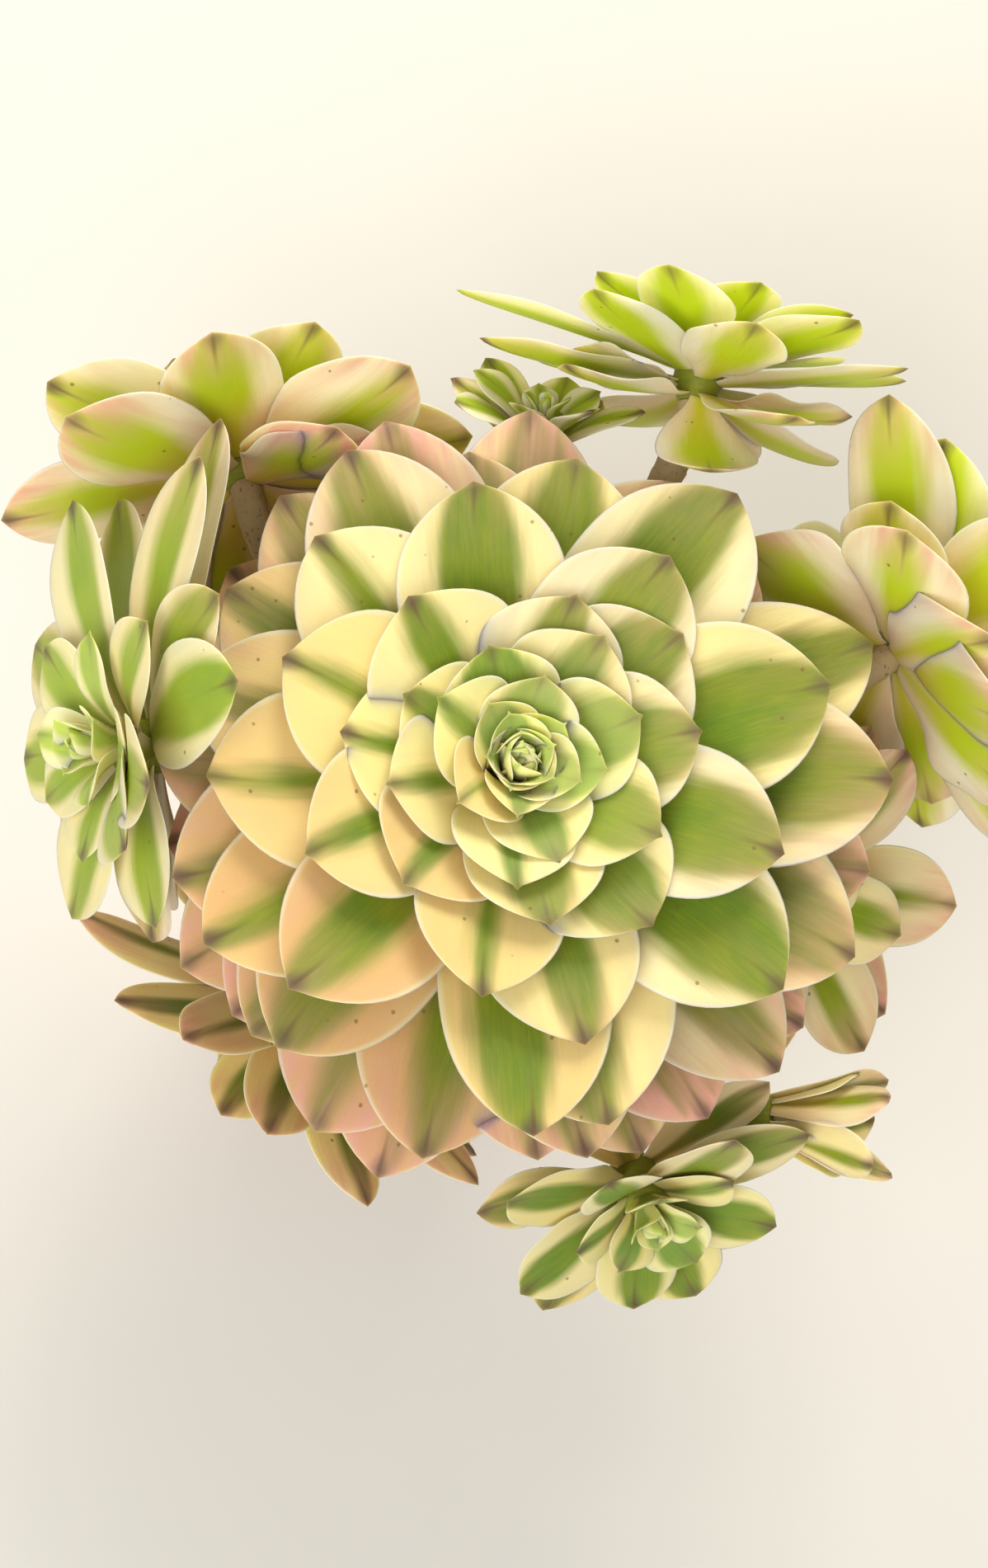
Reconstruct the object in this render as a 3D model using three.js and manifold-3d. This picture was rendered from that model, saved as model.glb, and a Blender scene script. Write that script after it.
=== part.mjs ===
// A potted aeonium: one large variegated rosette on a short trunk, with nine smaller
// rosettes on side branches round it, standing in soil in a plain clay pot.
// Millimetres, +Z up. The origin is the middle of the pot's underside.

import * as THREE from "three";
import { mergeVertices } from "three/addons/utils/BufferGeometryUtils.js";
import Module from "manifold-3d";

const wasm = await Module();
wasm.setup();

// ---------------------------------------------------------------- driving dimensions

const POT_HEIGHT = 100;
const POT_FOOT_RADIUS = 43;
const POT_MOUTH_RADIUS = 58;
const POT_WALL = 5;
const POT_BAND_HEIGHT = 20;
const POT_BAND_STEP = 3;
const DRAIN_HOLES = 3;
const DRAIN_RADIUS = 4;
const DRAIN_CIRCLE = 24;

const CLEARANCE = 0.3;
const SOIL_BELOW_RIM = 10;
const SOIL_DOME = 3;
const SOIL_GRIT = 1.1;

const TRUNK_DEPTH_IN_SOIL = 34;
const TRUNK_RADIUS = 9;
const TRUNK_FOOT_RADIUS = 11;
const BRANCH_ROOT_RADIUS = 5.6;
const BRANCH_TIP_RADIUS = 4.6;
const TRUNK_SIDES = 12;
const BRANCH_STEPS = 5;
const BRANCH_SIDES = 6;

const MAIN_ROSETTE_HEIGHT = 250;
const MAIN_CORE_RADIUS = 9;
const MAIN_CORE_LENGTH = 44;
const SIDE_CORE_RADIUS = 5;
const SIDE_CORE_LENGTH = 14;
const SIDE_BREADTH = 1.05;
const CORE_BELLY = 1.4;
const CORE_SHOULDER = 1.3;
const GOLDEN_ANGLE = 137.508;
const MAIN_LEAF_THICKNESS = 2.4;
const SIDE_LEAF_THICKNESS = 1.9;
const LEAF_CLEARANCE = 4.6;
const WIDEST = 0.62;
const NECK = 0.16;
const MAIN_STATIONS = [0, 0.35, 0.62, 0.88];
const SIDE_STATIONS = [0, 0.6, 0.88];
const BUD_STATIONS = [0, 0.7];
const BUD_AGE = 0.32;

// Each rosette: where its youngest leaf stands, the way it faces, its radius and number of
// leaves, the azimuth of its youngest leaf, the hand of its spiral, the seed of its random
// draws, how far its leaves are raised (share of the radius) and arched, and how broad they
// are. Some lean to one side. Single leaves, numbered from the heart outward, are turned
// (degrees), made longer or shorter, or lifted (share of the radius).
const ROSETTES = [
  { name: "rosette_main", at: [0, 0, MAIN_ROSETTE_HEIGHT], axis: [0, 0, 1], radius: 92,
    leaves: 74, phase: 285, hand: -1, seed: 1, raised: 0, arch: 0.1, breadth: 1.16,
    coreRadius: MAIN_CORE_RADIUS, coreLength: MAIN_CORE_LENGTH, looseness: 0.3,
    leanX: 0.086, leanY: -0.034,
    turned: { 12: 5, 13: -9, 14: -11, 16: 20, 22: 11, 23: 8, 25: -12, 26: -3, 28: 4, 29: 3,
      30: 7, 33: -10, 34: -7, 35: 3, 36: 4, 37: -12, 41: 4, 42: 5, 44: 8, 45: -4, 46: -3,
      47: -15, 49: -4, 50: -20, 51: 4, 59: 3, 64: 7, 67: 12, 72: 3 },
    longer: { 12: 0.88, 17: 0.9, 22: 0.88, 29: 1.06, 30: 0.95, 31: 1.07, 36: 1.07, 37: 1.05,
      41: 1.12, 43: 0.95, 44: 1.04, 45: 1.03, 47: 0.96, 49: 1.1, 51: 1.1, 64: 1.1, 67: 1.1,
      72: 1.1 },
    lifted: { 64: 0.06, 67: 0.18, 72: 0.3 } },
  { name: "rosette_left", at: [-93, 9, 227], axis: [-0.89, -0.12, 0.44], radius: 64,
    leaves: 30, phase: 98, hand: 1, seed: 38, raised: -0.1, arch: 0.12, leanX: 0.2 },
  { name: "rosette_bottom", at: [47, -103, 193], axis: [0.14, -0.76, 0.64], radius: 46,
    leaves: 24, phase: 200, hand: -1, seed: 31, raised: 0.15, arch: 0, breadth: 1.3 },
  { name: "rosette_upper_right", at: [121, 51, 217], axis: [0.73, 0.6, -0.33], radius: 66,
    leaves: 24, phase: 24, hand: -1, seed: 47, raised: 0.05, arch: 0.05, breadth: 1.25,
    turned: { 17: 50 }, longer: { 17: 0.75 }, lifted: { 17: -0.2, 22: 0.3 } },
  { name: "rosette_top", at: [57, 123, 234], axis: [0.11, 0.96, 0.24], radius: 57,
    leaves: 29, phase: 346, hand: 1, seed: 27, raised: 0.12, arch: -0.03, breadth: 1.15,
    turned: { 17: -3, 28: 35 }, longer: { 17: 1.25, 28: 0.5 }, lifted: { 28: -0.5 } },
  { name: "rosette_upper_left", at: [-65, 101, 195], axis: [-0.1, 0.91, -0.4], radius: 64,
    leaves: 26, phase: 302, hand: 1, seed: 38, raised: -0.3, arch: 0.05, breadth: 1.2 },
  { name: "rosette_right", at: [87, -17, 194], axis: [0.36, -0.32, 0.88], radius: 60,
    leaves: 24, phase: 179, hand: 1, seed: 40, raised: 0.1, arch: 0.05, breadth: 1.1,
    longer: { 12: 1.4, 17: 1.15, 19: 0.85, 22: 1.25 } },
  { name: "rosette_lower_left", at: [-42, -51, 168], axis: [-0.5, -0.66, -0.55], radius: 65,
    leaves: 34, phase: 156, hand: -1, seed: 47, raised: 0.16, arch: 0.06, breadth: 0.8 },
  { name: "rosette_lower_right", at: [83, -81, 188], axis: [0.89, -0.14, 0.44], radius: 18,
    leaves: 14, phase: 344, hand: 1, seed: 50, raised: 2.1, arch: 0, breadth: 2.3 },
  { name: "rosette_small_top", at: [16, 106, 217], axis: [-0.08, 0.64, 0.76], radius: 28,
    leaves: 16, phase: 266, hand: 1, seed: 20, raised: 0.5, arch: 0, breadth: 1.25 },
];

// How a rosette opens from its heart (age 0) to its oldest leaves (age 1). Reach and height
// of the leaf tip and half of the leaf's width are shares of the rosette's radius.
const TIP_REACH = [[0, -0.03], [0.07, 0.09], [0.164, 0.25], [0.233, 0.354], [0.301, 0.424],
  [0.37, 0.511], [0.438, 0.645], [0.507, 0.807], [0.575, 0.904], [0.74, 0.978], [1, 1.03]];
const TIP_HEIGHT = [[0, 0.27], [0.07, 0.265], [0.17, 0.24], [0.30, 0.205], [0.44, 0.165],
  [0.57, 0.075], [0.72, -0.05], [0.84, -0.20], [1, -0.42]];
const HALF_WIDTH = [[0, 0.045], [0.07, 0.08], [0.17, 0.12], [0.30, 0.165], [0.44, 0.195],
  [0.57, 0.212], [1, 0.215]];
const BEND_RUN = [[0, 0], [0.05, 0.15], [0.16, 0.25], [0.3, 0.42], [1, 0.42]];
const BEND_RISE = [[0, 0.6], [0.05, 0.9], [0.16, 0.9], [0.3, 0.78], [1, 0.75]];
const CUP = [[0, 0.45], [0.1, 0.22], [0.25, 0.10], [1, 0.04]];

// What a leaf that would cross a neighbour tries in turn: degrees round the axis, share of
// the radius that its tip is raised, and its length.
const WAYS_CLEAR = [[0, 0, 1], [9, 0, 1], [-9, 0, 1], [0, 0.14, 1], [0, -0.14, 1],
  [12, 0.14, 0.95], [-12, 0.14, 0.95], [12, -0.14, 0.95], [-12, -0.14, 0.95],
  [0, 0.3, 0.9], [0, -0.3, 0.9], [16, 0.3, 0.8], [-16, 0.3, 0.8],
  [0, 0.15, 0.7], [0, -0.15, 0.7], [0, 0.45, 0.8], [0, -0.45, 0.7]];

// ---------------------------------------------------------------- small helpers

const vector = ([x, y, z]) => new THREE.Vector3(x, y, z);
const radians = (degrees) => degrees * Math.PI / 180;

// A seeded draw from -1 to 1.
function draw(seed, index, which) {
  const wave = Math.sin(seed * 12.9898 + index * 78.233 + which * 37.719) * 43758.5453;
  return 2 * (wave - Math.floor(wave)) - 1;
}

function along(table, x) {
  for (let i = 1; i < table.length; i += 1) {
    const [x0, y0] = table[i - 1];
    const [x1, y1] = table[i];
    if (x <= x1) {
      return y0 + (Math.max(x, x0) - x0) / (x1 - x0) * (y1 - y0);
    }
  }
  return table[table.length - 1][1];
}

function solidOf(geometry) {
  const bare = geometry.index ? geometry.clone() : geometry;
  bare.deleteAttribute("normal");
  bare.deleteAttribute("uv");
  const merged = mergeVertices(bare, 1e-4);
  return new wasm.Manifold(new wasm.Mesh({
    numProp: 3,
    vertProperties: new Float32Array(merged.attributes.position.array),
    triVerts: new Uint32Array(merged.index.array),
  }));
}

// The largest body of a solid: a sealed hollow between leaves is filled by this too.
function mainBody(solid) {
  const bodies = solid.decompose();
  bodies.sort((a, b) => b.volume() - a.volume());
  return bodies[0];
}

function geometryOf(solid) {
  const mesh = solid.getMesh();
  const geometry = new THREE.BufferGeometry();
  geometry.setAttribute("position", new THREE.BufferAttribute(mesh.vertProperties, 3));
  geometry.setIndex(new THREE.BufferAttribute(mesh.triVerts, 1));
  return geometry;
}

function finish(name, geometry, colour, roughness) {
  const material = new THREE.MeshStandardMaterial({ color: colour, roughness, metalness: 0 });
  const mesh = new THREE.Mesh(geometry, material);
  mesh.name = name;
  return mesh;
}

// ---------------------------------------------------------------- pot: thrown clay

const soilTop = POT_HEIGHT - SOIL_BELOW_RIM;

function potRadius(z) {
  return POT_FOOT_RADIUS + (POT_MOUTH_RADIUS - POT_FOOT_RADIUS) * z / POT_HEIGHT;
}

function makePot() {
  const bandFoot = POT_HEIGHT - POT_BAND_HEIGHT;
  const profile = [
    [0, 0], [POT_FOOT_RADIUS - 1.5, 0], [POT_FOOT_RADIUS, 1.5],
    [potRadius(bandFoot), bandFoot],
    [potRadius(bandFoot) + POT_BAND_STEP, bandFoot + 1.5],
    [POT_MOUTH_RADIUS + POT_BAND_STEP, POT_HEIGHT - 2],
    [POT_MOUTH_RADIUS + POT_BAND_STEP - 1.5, POT_HEIGHT],
    [POT_MOUTH_RADIUS - POT_WALL + 1.5, POT_HEIGHT],
    [POT_MOUTH_RADIUS - POT_WALL, POT_HEIGHT - 1.5],
    [potRadius(POT_WALL) - POT_WALL, POT_WALL], [0, POT_WALL],
  ];
  const points = profile.map(([x, y]) => new THREE.Vector2(x, y));
  const turned = new THREE.LatheGeometry(points, 32);
  turned.rotateX(Math.PI / 2);
  let pot = solidOf(turned);
  for (let i = 0; i < DRAIN_HOLES; i += 1) {
    const angle = 2 * Math.PI * (i + 0.5) / DRAIN_HOLES;
    const hole = new THREE.CylinderGeometry(DRAIN_RADIUS, DRAIN_RADIUS, 4 * POT_WALL, 10);
    hole.rotateX(Math.PI / 2);
    hole.translate(DRAIN_CIRCLE * Math.cos(angle), DRAIN_CIRCLE * Math.sin(angle), 0);
    pot = pot.subtract(solidOf(hole));
  }
  return finish("pot", geometryOf(pot), 0xb8683f, 0.9);
}

// ---------------------------------------------------------------- soil with a plain hole

function makeSoil() {
  const floor = POT_WALL + CLEARANCE;
  const reach = (z) => POT_MOUTH_RADIUS - POT_WALL - 2 * CLEARANCE
    - (POT_MOUTH_RADIUS - potRadius(POT_WALL)) * (POT_HEIGHT - z) / (POT_HEIGHT - POT_WALL);
  const holeRadius = TRUNK_FOOT_RADIUS + CLEARANCE + 0.3;
  const holeFloor = soilTop - TRUNK_DEPTH_IN_SOIL - CLEARANCE;
  const rings = 4;
  const profile = [[0, floor], [reach(floor), floor], [reach(soilTop), soilTop]];
  for (let i = 1; i <= rings; i += 1) {
    const share = i / rings;
    const radius = reach(soilTop) + (holeRadius - reach(soilTop)) * share;
    profile.push([radius, soilTop + SOIL_DOME * Math.sin(share * Math.PI / 2)]);
  }
  profile.push([holeRadius, holeFloor], [0, holeFloor]);
  const points = profile.map(([x, y]) => new THREE.Vector2(x, y));
  const turned = new THREE.LatheGeometry(points, 24);
  turned.rotateX(Math.PI / 2);
  const heap = mergeVertices(stripped(turned), 1e-4);
  const position = heap.attributes.position;
  for (let i = 0; i < position.count; i += 1) {
    const radius = Math.hypot(position.getX(i), position.getY(i));
    const open = radius > holeRadius + 1 && radius < reach(soilTop) - 1;
    if (open && position.getZ(i) > soilTop - 1) {
      position.setZ(i, position.getZ(i) + SOIL_GRIT * draw(7, i, 1));
    }
  }
  return finish("soil", heap, 0x4a3a2c, 1);
}

function stripped(geometry) {
  geometry.deleteAttribute("normal");
  geometry.deleteAttribute("uv");
  return geometry;
}

// ---------------------------------------------------------------- leaves

function frameOf(rosette) {
  const axis = vector(rosette.axis).normalize();
  const side = Math.abs(axis.x) < 0.8 ? new THREE.Vector3(1, 0, 0) : new THREE.Vector3(0, 1, 0);
  const first = side.addScaledVector(axis, -side.dot(axis)).normalize();
  const second = new THREE.Vector3().crossVectors(axis, first);
  return { axis, first, second };
}

// A leaf's half width along it, as a share: a narrow neck, wider in a young leaf, then broad
// past the middle, and a rounded end that closes to a point.
function outline(s, age) {
  const youth = Math.max(0, 1 - age / 0.25);
  if (s < WIDEST) {
    const neck = NECK + 0.5 * youth;
    return neck + (1 - neck) * Math.sin(Math.PI / 2 * s / WIDEST) ** 1.7;
  }
  const q = (s - WIDEST) / (1 - WIDEST);
  return Math.max(0, 1 - q ** 2.6) ** (0.7 + 0.5 * youth);
}

function makeLeaf(rosette, index, [turn, raised, length]) {
  const { radius, seed, coreRadius, coreLength } = rosette;
  const { axis, first, second } = rosette.frame;
  const age = index / (rosette.leaves - 1);
  const loose = rosette.looseness * Math.min(1, 3 * age);
  const azimuth = radians(rosette.phase + rosette.hand * GOLDEN_ANGLE * index
    + 7 * loose * draw(seed, index, 1) + (rosette.turned[index] ?? 0) + turn);
  const outward = first.clone().multiplyScalar(Math.cos(azimuth))
    .addScaledVector(second, Math.sin(azimuth));
  const lean = 1 + rosette.leanX * Math.cos(azimuth) + rosette.leanY * Math.sin(azimuth);
  const reach = radius * along(TIP_REACH, age) * lean * (rosette.longer[index] ?? 1) * length
    * (1 + 0.07 * loose * draw(seed, index, 2));
  const height = radius * (along(TIP_HEIGHT, age) + rosette.raised * age + raised
    + (rosette.lifted[index] ?? 0) + 0.02 * draw(seed, index, 3));
  const root = [coreRadius * (0.2 + 0.35 * Math.min(1, 2 * age)),
    (0.7 * coreRadius - coreLength) * age];
  const run = reach - root[0];
  const rise = height - root[1];
  const bulge = 0.03 * radius * Math.max(0, 1 - 8 * age);
  const arch = rosette.arch * run * Math.min(1, 4 * age);
  const bend = [root[0] + run * along(BEND_RUN, age) + bulge,
    root[1] + rise * along(BEND_RISE, age) + arch];
  return {
    age,
    at: vector(rosette.at),
    axis,
    outward,
    across: new THREE.Vector3().crossVectors(axis, outward),
    root,
    bend,
    tip: [reach, height],
    half: radius * along(HALF_WIDTH, age) * rosette.breadth * (1 + 0.08 * draw(seed, index, 4)),
    cup: along(CUP, age) + 0.05 * draw(seed, index, 5),
    twist: radians(10) * draw(seed, index, 6) * age,
    sweep: 0.04 * radius * draw(seed, index, 7) * age,
    wrap: Math.max(0, 1 - 4 * age),
  };
}

// A point of the leaf: s from root to tip, v from -1 to 1 across, and its distance off the
// middle surface. The middle line is a quadratic curve in the plane of the axis. A young leaf
// is wrapped round the heart.
function leafPoint(leaf, s, v, off = 0) {
  const [r0, h0] = leaf.root;
  const [r1, h1] = leaf.bend;
  const [r2, h2] = leaf.tip;
  const q = 1 - s;
  const slopeR = 2 * q * (r1 - r0) + 2 * s * (r2 - r1);
  const slopeH = 2 * q * (h1 - h0) + 2 * s * (h2 - h1);
  const slope = Math.hypot(slopeR, slopeH);
  const half = leaf.half * outline(s, leaf.age);
  const flatAcross = half * v;
  const flatUp = leaf.cup * half * v * v + off;
  const turn = leaf.twist * s;
  const sideways = flatAcross * Math.cos(turn) - flatUp * Math.sin(turn);
  const upward = flatAcross * Math.sin(turn) + flatUp * Math.cos(turn);
  const rho = q * q * r0 + 2 * q * s * r1 + s * s * r2 - slopeH / slope * upward;
  const high = q * q * h0 + 2 * q * s * h1 + s * s * h2 + slopeR / slope * upward;
  const aside = sideways + leaf.sweep * s * s;
  const bent = leaf.wrap * aside / Math.max(rho, 6);
  const chord = Math.abs(bent) < 1e-6 ? aside : aside * Math.sin(bent) / bent;
  return leaf.at.clone()
    .addScaledVector(leaf.axis, high)
    .addScaledVector(leaf.outward, rho * Math.cos(bent))
    .addScaledVector(leaf.across, chord);
}

// Four points at each station (edge, upper rib, edge, lower rib) and one at the tip.
function leafSolid(leaf, stations, thickness) {
  const steps = stations.length;
  const young = 0.5 + 0.5 * Math.min(1, 3 * leaf.age);
  const positions = [];
  const faces = [];
  for (let i = 0; i < steps; i += 1) {
    const s = stations[i];
    const rib = thickness / 2 * young * (0.5 + 0.5 * Math.min(1, 2 * s)) * (1 - 0.45 * s * s);
    const ring = [[-1, 0], [0, -rib], [1, 0], [0, rib]];
    for (const [v, off] of ring) {
      positions.push(...leafPoint(leaf, s, v, off).toArray());
    }
  }
  positions.push(...leafPoint(leaf, 1, 0).toArray());
  for (let i = 0; i < steps - 1; i += 1) {
    for (let j = 0; j < 4; j += 1) {
      const a = 4 * i + j;
      const b = 4 * i + (j + 1) % 4;
      const [c, d] = [a + 4, b + 4];
      if (j % 2 === 0) {
        faces.push(a, b, d, a, d, c);
      } else {
        faces.push(a, b, c, b, d, c);
      }
    }
  }
  const last = 4 * (steps - 1);
  for (let j = 0; j < 4; j += 1) {
    faces.push(last + j, last + (j + 1) % 4, 4 * steps);
  }
  faces.push(0, 3, 2, 0, 2, 1);
  const geometry = new THREE.BufferGeometry();
  geometry.setAttribute("position", new THREE.Float32BufferAttribute(positions, 3));
  geometry.setIndex(faces);
  return solidOf(geometry);
}

// ---------------------------------------------------------------- trunk and branches

const rosettes = ROSETTES.map((given, index) => {
  const rosette = { breadth: SIDE_BREADTH, coreRadius: SIDE_CORE_RADIUS,
    coreLength: SIDE_CORE_LENGTH, looseness: 1, leanX: 0, leanY: 0, turned: {}, longer: {},
    lifted: {}, ...given, index };
  rosette.frame = frameOf(rosette);
  rosette.base = vector(rosette.at).addScaledVector(rosette.frame.axis, -rosette.coreLength);
  return rosette;
});
const [mainRosette, ...sideRosettes] = rosettes;

// A branch leaves the trunk low enough to rise outward and arrives along its rosette's axis.
function branchCurve(rosette) {
  const { base, frame } = rosette;
  const spread = Math.hypot(base.x, base.y);
  const leaveHeight = Math.min(165, Math.max(108, base.z - 0.55 * spread - 15));
  const start = new THREE.Vector3(0, 0, leaveHeight);
  const outward = new THREE.Vector3(0.35 * base.x, 0.35 * base.y, leaveHeight + 0.1 * spread);
  const arrival = base.clone()
    .addScaledVector(frame.axis, -Math.min(24, 0.4 * base.distanceTo(start)));
  return new THREE.CubicBezierCurve3(start, outward, arrival, base);
}

// A round tapering limb along a curve, its ends cut square.
function limbSolid(curve, steps, sides, radiusAt) {
  const positions = [];
  const faces = [];
  let across = new THREE.Vector3(0, 1, 0);
  for (let i = 0; i <= steps; i += 1) {
    const t = i / steps;
    const centre = curve.getPoint(t);
    const tangent = curve.getTangent(t);
    if (i === 0 && Math.abs(tangent.y) > 0.8) {
      across = new THREE.Vector3(1, 0, 0);
    }
    across = across.addScaledVector(tangent, -across.dot(tangent)).normalize();
    const other = new THREE.Vector3().crossVectors(tangent, across);
    for (let j = 0; j < sides; j += 1) {
      const angle = 2 * Math.PI * j / sides;
      const point = centre.clone()
        .addScaledVector(across, radiusAt(t) * Math.cos(angle))
        .addScaledVector(other, radiusAt(t) * Math.sin(angle));
      positions.push(...point.toArray());
    }
  }
  for (let i = 0; i < steps; i += 1) {
    for (let j = 0; j < sides; j += 1) {
      const a = i * sides + j;
      const b = i * sides + (j + 1) % sides;
      faces.push(a, b, b + sides, a, b + sides, a + sides);
    }
  }
  for (let j = 1; j < sides - 1; j += 1) {
    const top = steps * sides;
    faces.push(0, j + 1, j, top, top + j, top + j + 1);
  }
  const geometry = new THREE.BufferGeometry();
  geometry.setAttribute("position", new THREE.Float32BufferAttribute(positions, 3));
  geometry.setIndex(faces);
  return solidOf(geometry);
}

const trunkFoot = new THREE.Vector3(0, 0, soilTop - TRUNK_DEPTH_IN_SOIL);

function makeStems() {
  const trunkTop = mainRosette.base.clone();
  trunkTop.z -= CLEARANCE;
  const trunkLine = new THREE.LineCurve3(trunkFoot, trunkTop);
  const trunkTaper = (t) => TRUNK_FOOT_RADIUS + (TRUNK_RADIUS - TRUNK_FOOT_RADIUS) * t;
  let stems = limbSolid(trunkLine, 2, TRUNK_SIDES, trunkTaper);
  for (const rosette of sideRosettes) {
    const curve = branchCurve(rosette);
    const short = curve.v3.clone().addScaledVector(rosette.frame.axis, -CLEARANCE);
    const line = new THREE.CubicBezierCurve3(curve.v0, curve.v1, curve.v2, short);
    const taper = (t) => BRANCH_ROOT_RADIUS + (BRANCH_TIP_RADIUS - BRANCH_ROOT_RADIUS) * t;
    stems = stems.add(limbSolid(line, BRANCH_STEPS, BRANCH_SIDES, taper));
  }
  return finish("trunk_and_branches", geometryOf(mainBody(stems)), 0xb08a72, 0.85);
}

// ---------------------------------------------------------------- rosettes grown clear

// Points that stand for what has already grown: along each limb, then over each leaf.
function limbMarks() {
  const marks = [];
  for (let i = 0; i < 26; i += 1) {
    const z = soilTop + 2 + (mainRosette.base.z - soilTop - 2) * i / 25;
    marks.push({ owner: 0, limb: true, radius: TRUNK_RADIUS, point: new THREE.Vector3(0, 0, z) });
  }
  for (const rosette of sideRosettes) {
    const curve = branchCurve(rosette);
    for (let i = 0; i < 24; i += 1) {
      const point = curve.getPoint(i / 23);
      marks.push({ owner: rosette.index, limb: true, radius: BRANCH_TIP_RADIUS, point });
    }
  }
  return marks;
}

function leafMarks(leaf) {
  const points = [];
  for (let i = 3; i <= 14; i += 1) {
    for (let j = 0; j <= 7; j += 1) {
      points.push(leafPoint(leaf, i / 14, -1 + 2 * j / 7));
    }
  }
  return points;
}

function standsClear(points, marks) {
  const box = new THREE.Box3().setFromPoints(points).expandByScalar(15);
  for (const mark of marks) {
    if (box.containsPoint(mark.point)) {
      const nearest = mark.radius + LEAF_CLEARANCE;
      for (const point of points) {
        if (point.distanceToSquared(mark.point) < nearest * nearest) {
          return false;
        }
      }
    }
  }
  return true;
}

function growLeaves(rosette, marks) {
  const others = marks.filter((mark) => mark.owner !== rosette.index
    || (mark.limb && mark.point.distanceTo(rosette.base) > 14));
  const leaves = [];
  const grown = [];
  for (let index = 0; index < rosette.leaves; index += 1) {
    for (const way of WAYS_CLEAR) {
      const leaf = makeLeaf(rosette, index, way);
      const points = leafMarks(leaf);
      if (standsClear(points, others)) {
        leaves.push(leaf);
        grown.push(...points);
        break;
      }
    }
  }
  for (const point of grown) {
    marks.push({ owner: rosette.index, limb: false, radius: 0, point });
  }
  return leaves;
}

// The short fleshy stem end that carries the leaves, from its foot, fuller where the leaves
// crowd, to a low dome.
function coreSolid(rosette) {
  const { coreRadius, coreLength, base, frame } = rosette;
  const profile = [[0, 0], [coreRadius, 0], [CORE_BELLY * coreRadius, 0.35 * coreLength],
    [CORE_SHOULDER * coreRadius, 1.05 * coreLength], [0, coreLength + 0.6 * coreRadius]];
  const points = profile.map(([x, y]) => new THREE.Vector2(x, y));
  const turned = new THREE.LatheGeometry(points, rosette === mainRosette ? 9 : BRANCH_SIDES);
  const up = new THREE.Vector3(0, 1, 0);
  turned.applyQuaternion(new THREE.Quaternion().setFromUnitVectors(up, frame.axis));
  turned.translate(base.x, base.y, base.z);
  return solidOf(turned);
}

function makeRosette(rosette, marks) {
  const isMain = rosette === mainRosette;
  const thickness = isMain ? MAIN_LEAF_THICKNESS : SIDE_LEAF_THICKNESS;
  let head = coreSolid(rosette);
  for (const leaf of growLeaves(rosette, marks)) {
    const grownStations = isMain ? MAIN_STATIONS : SIDE_STATIONS;
    const stations = leaf.age < BUD_AGE ? BUD_STATIONS : grownStations;
    head = head.add(leafSolid(leaf, stations, thickness));
  }
  return finish(rosette.name, geometryOf(mainBody(head)), isMain ? 0xbfc46a : 0xb4c07c, 0.5);
}

// ---------------------------------------------------------------- the whole plant

const plant = new THREE.Group();
plant.add(makePot());
plant.add(makeSoil());
plant.add(makeStems());
const marks = limbMarks();
for (const rosette of rosettes) {
  plant.add(makeRosette(rosette, marks));
}

export default plant;
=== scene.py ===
import math

import bmesh
import bpy
import numpy as np
from mathutils import Matrix, Vector


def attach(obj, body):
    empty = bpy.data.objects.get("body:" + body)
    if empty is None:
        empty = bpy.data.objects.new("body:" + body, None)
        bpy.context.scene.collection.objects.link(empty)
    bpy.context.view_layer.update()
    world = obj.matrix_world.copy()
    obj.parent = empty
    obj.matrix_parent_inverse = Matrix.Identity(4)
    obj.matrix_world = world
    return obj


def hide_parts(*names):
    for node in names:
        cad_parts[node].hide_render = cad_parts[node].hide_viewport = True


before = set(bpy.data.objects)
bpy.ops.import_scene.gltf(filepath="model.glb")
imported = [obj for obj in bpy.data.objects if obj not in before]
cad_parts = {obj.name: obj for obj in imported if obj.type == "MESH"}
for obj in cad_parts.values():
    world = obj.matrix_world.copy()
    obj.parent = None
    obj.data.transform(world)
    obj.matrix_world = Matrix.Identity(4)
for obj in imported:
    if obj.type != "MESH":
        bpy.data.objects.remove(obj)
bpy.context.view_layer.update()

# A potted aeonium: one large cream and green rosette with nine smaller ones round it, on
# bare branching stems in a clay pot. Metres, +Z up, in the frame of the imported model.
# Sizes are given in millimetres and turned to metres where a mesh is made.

# ------------------------------------------------------------------ camera
# The plant is seen from above, nearly down the axis of the large rosette. The camera leans
# back from the vertical towards the front left, as the photo shows the leaves.

MM = 0.001
CAMERA_LEAN = math.radians(15)
CAMERA_TURN = math.radians(230)
CAMERA_DISTANCE = 480
LOOKED_AT = Vector((0, 0, 258))
ASIDE_RIGHT, ASIDE_UP = -4.6, -3.7
PICTURE_HEIGHT_PX = 1901
FOCAL_LENGTH_PX = 2400
SENSOR_SIDE = 36
NEAREST_SEEN = 20

toward = Vector((math.sin(CAMERA_LEAN) * math.cos(CAMERA_TURN),
                 math.sin(CAMERA_LEAN) * math.sin(CAMERA_TURN), math.cos(CAMERA_LEAN)))
upward = (Vector((0, 1, 0)) - toward * toward.y).normalized()
rightward = upward.cross(toward)
camera = bpy.data.objects.new("camera", bpy.data.cameras.new("camera"))
camera.data.sensor_width = SENSOR_SIDE
camera.data.lens = SENSOR_SIDE * FOCAL_LENGTH_PX / PICTURE_HEIGHT_PX
camera.data.clip_start = NEAREST_SEEN * MM
camera_turned = Matrix((rightward, upward, toward)).transposed().to_4x4()
camera_place = (LOOKED_AT + toward * CAMERA_DISTANCE + rightward * ASIDE_RIGHT
                + upward * ASIDE_UP)
camera.matrix_world = Matrix.Translation(camera_place * MM) @ camera_turned
bpy.context.scene.collection.objects.link(camera)
bpy.context.scene.camera = camera

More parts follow.
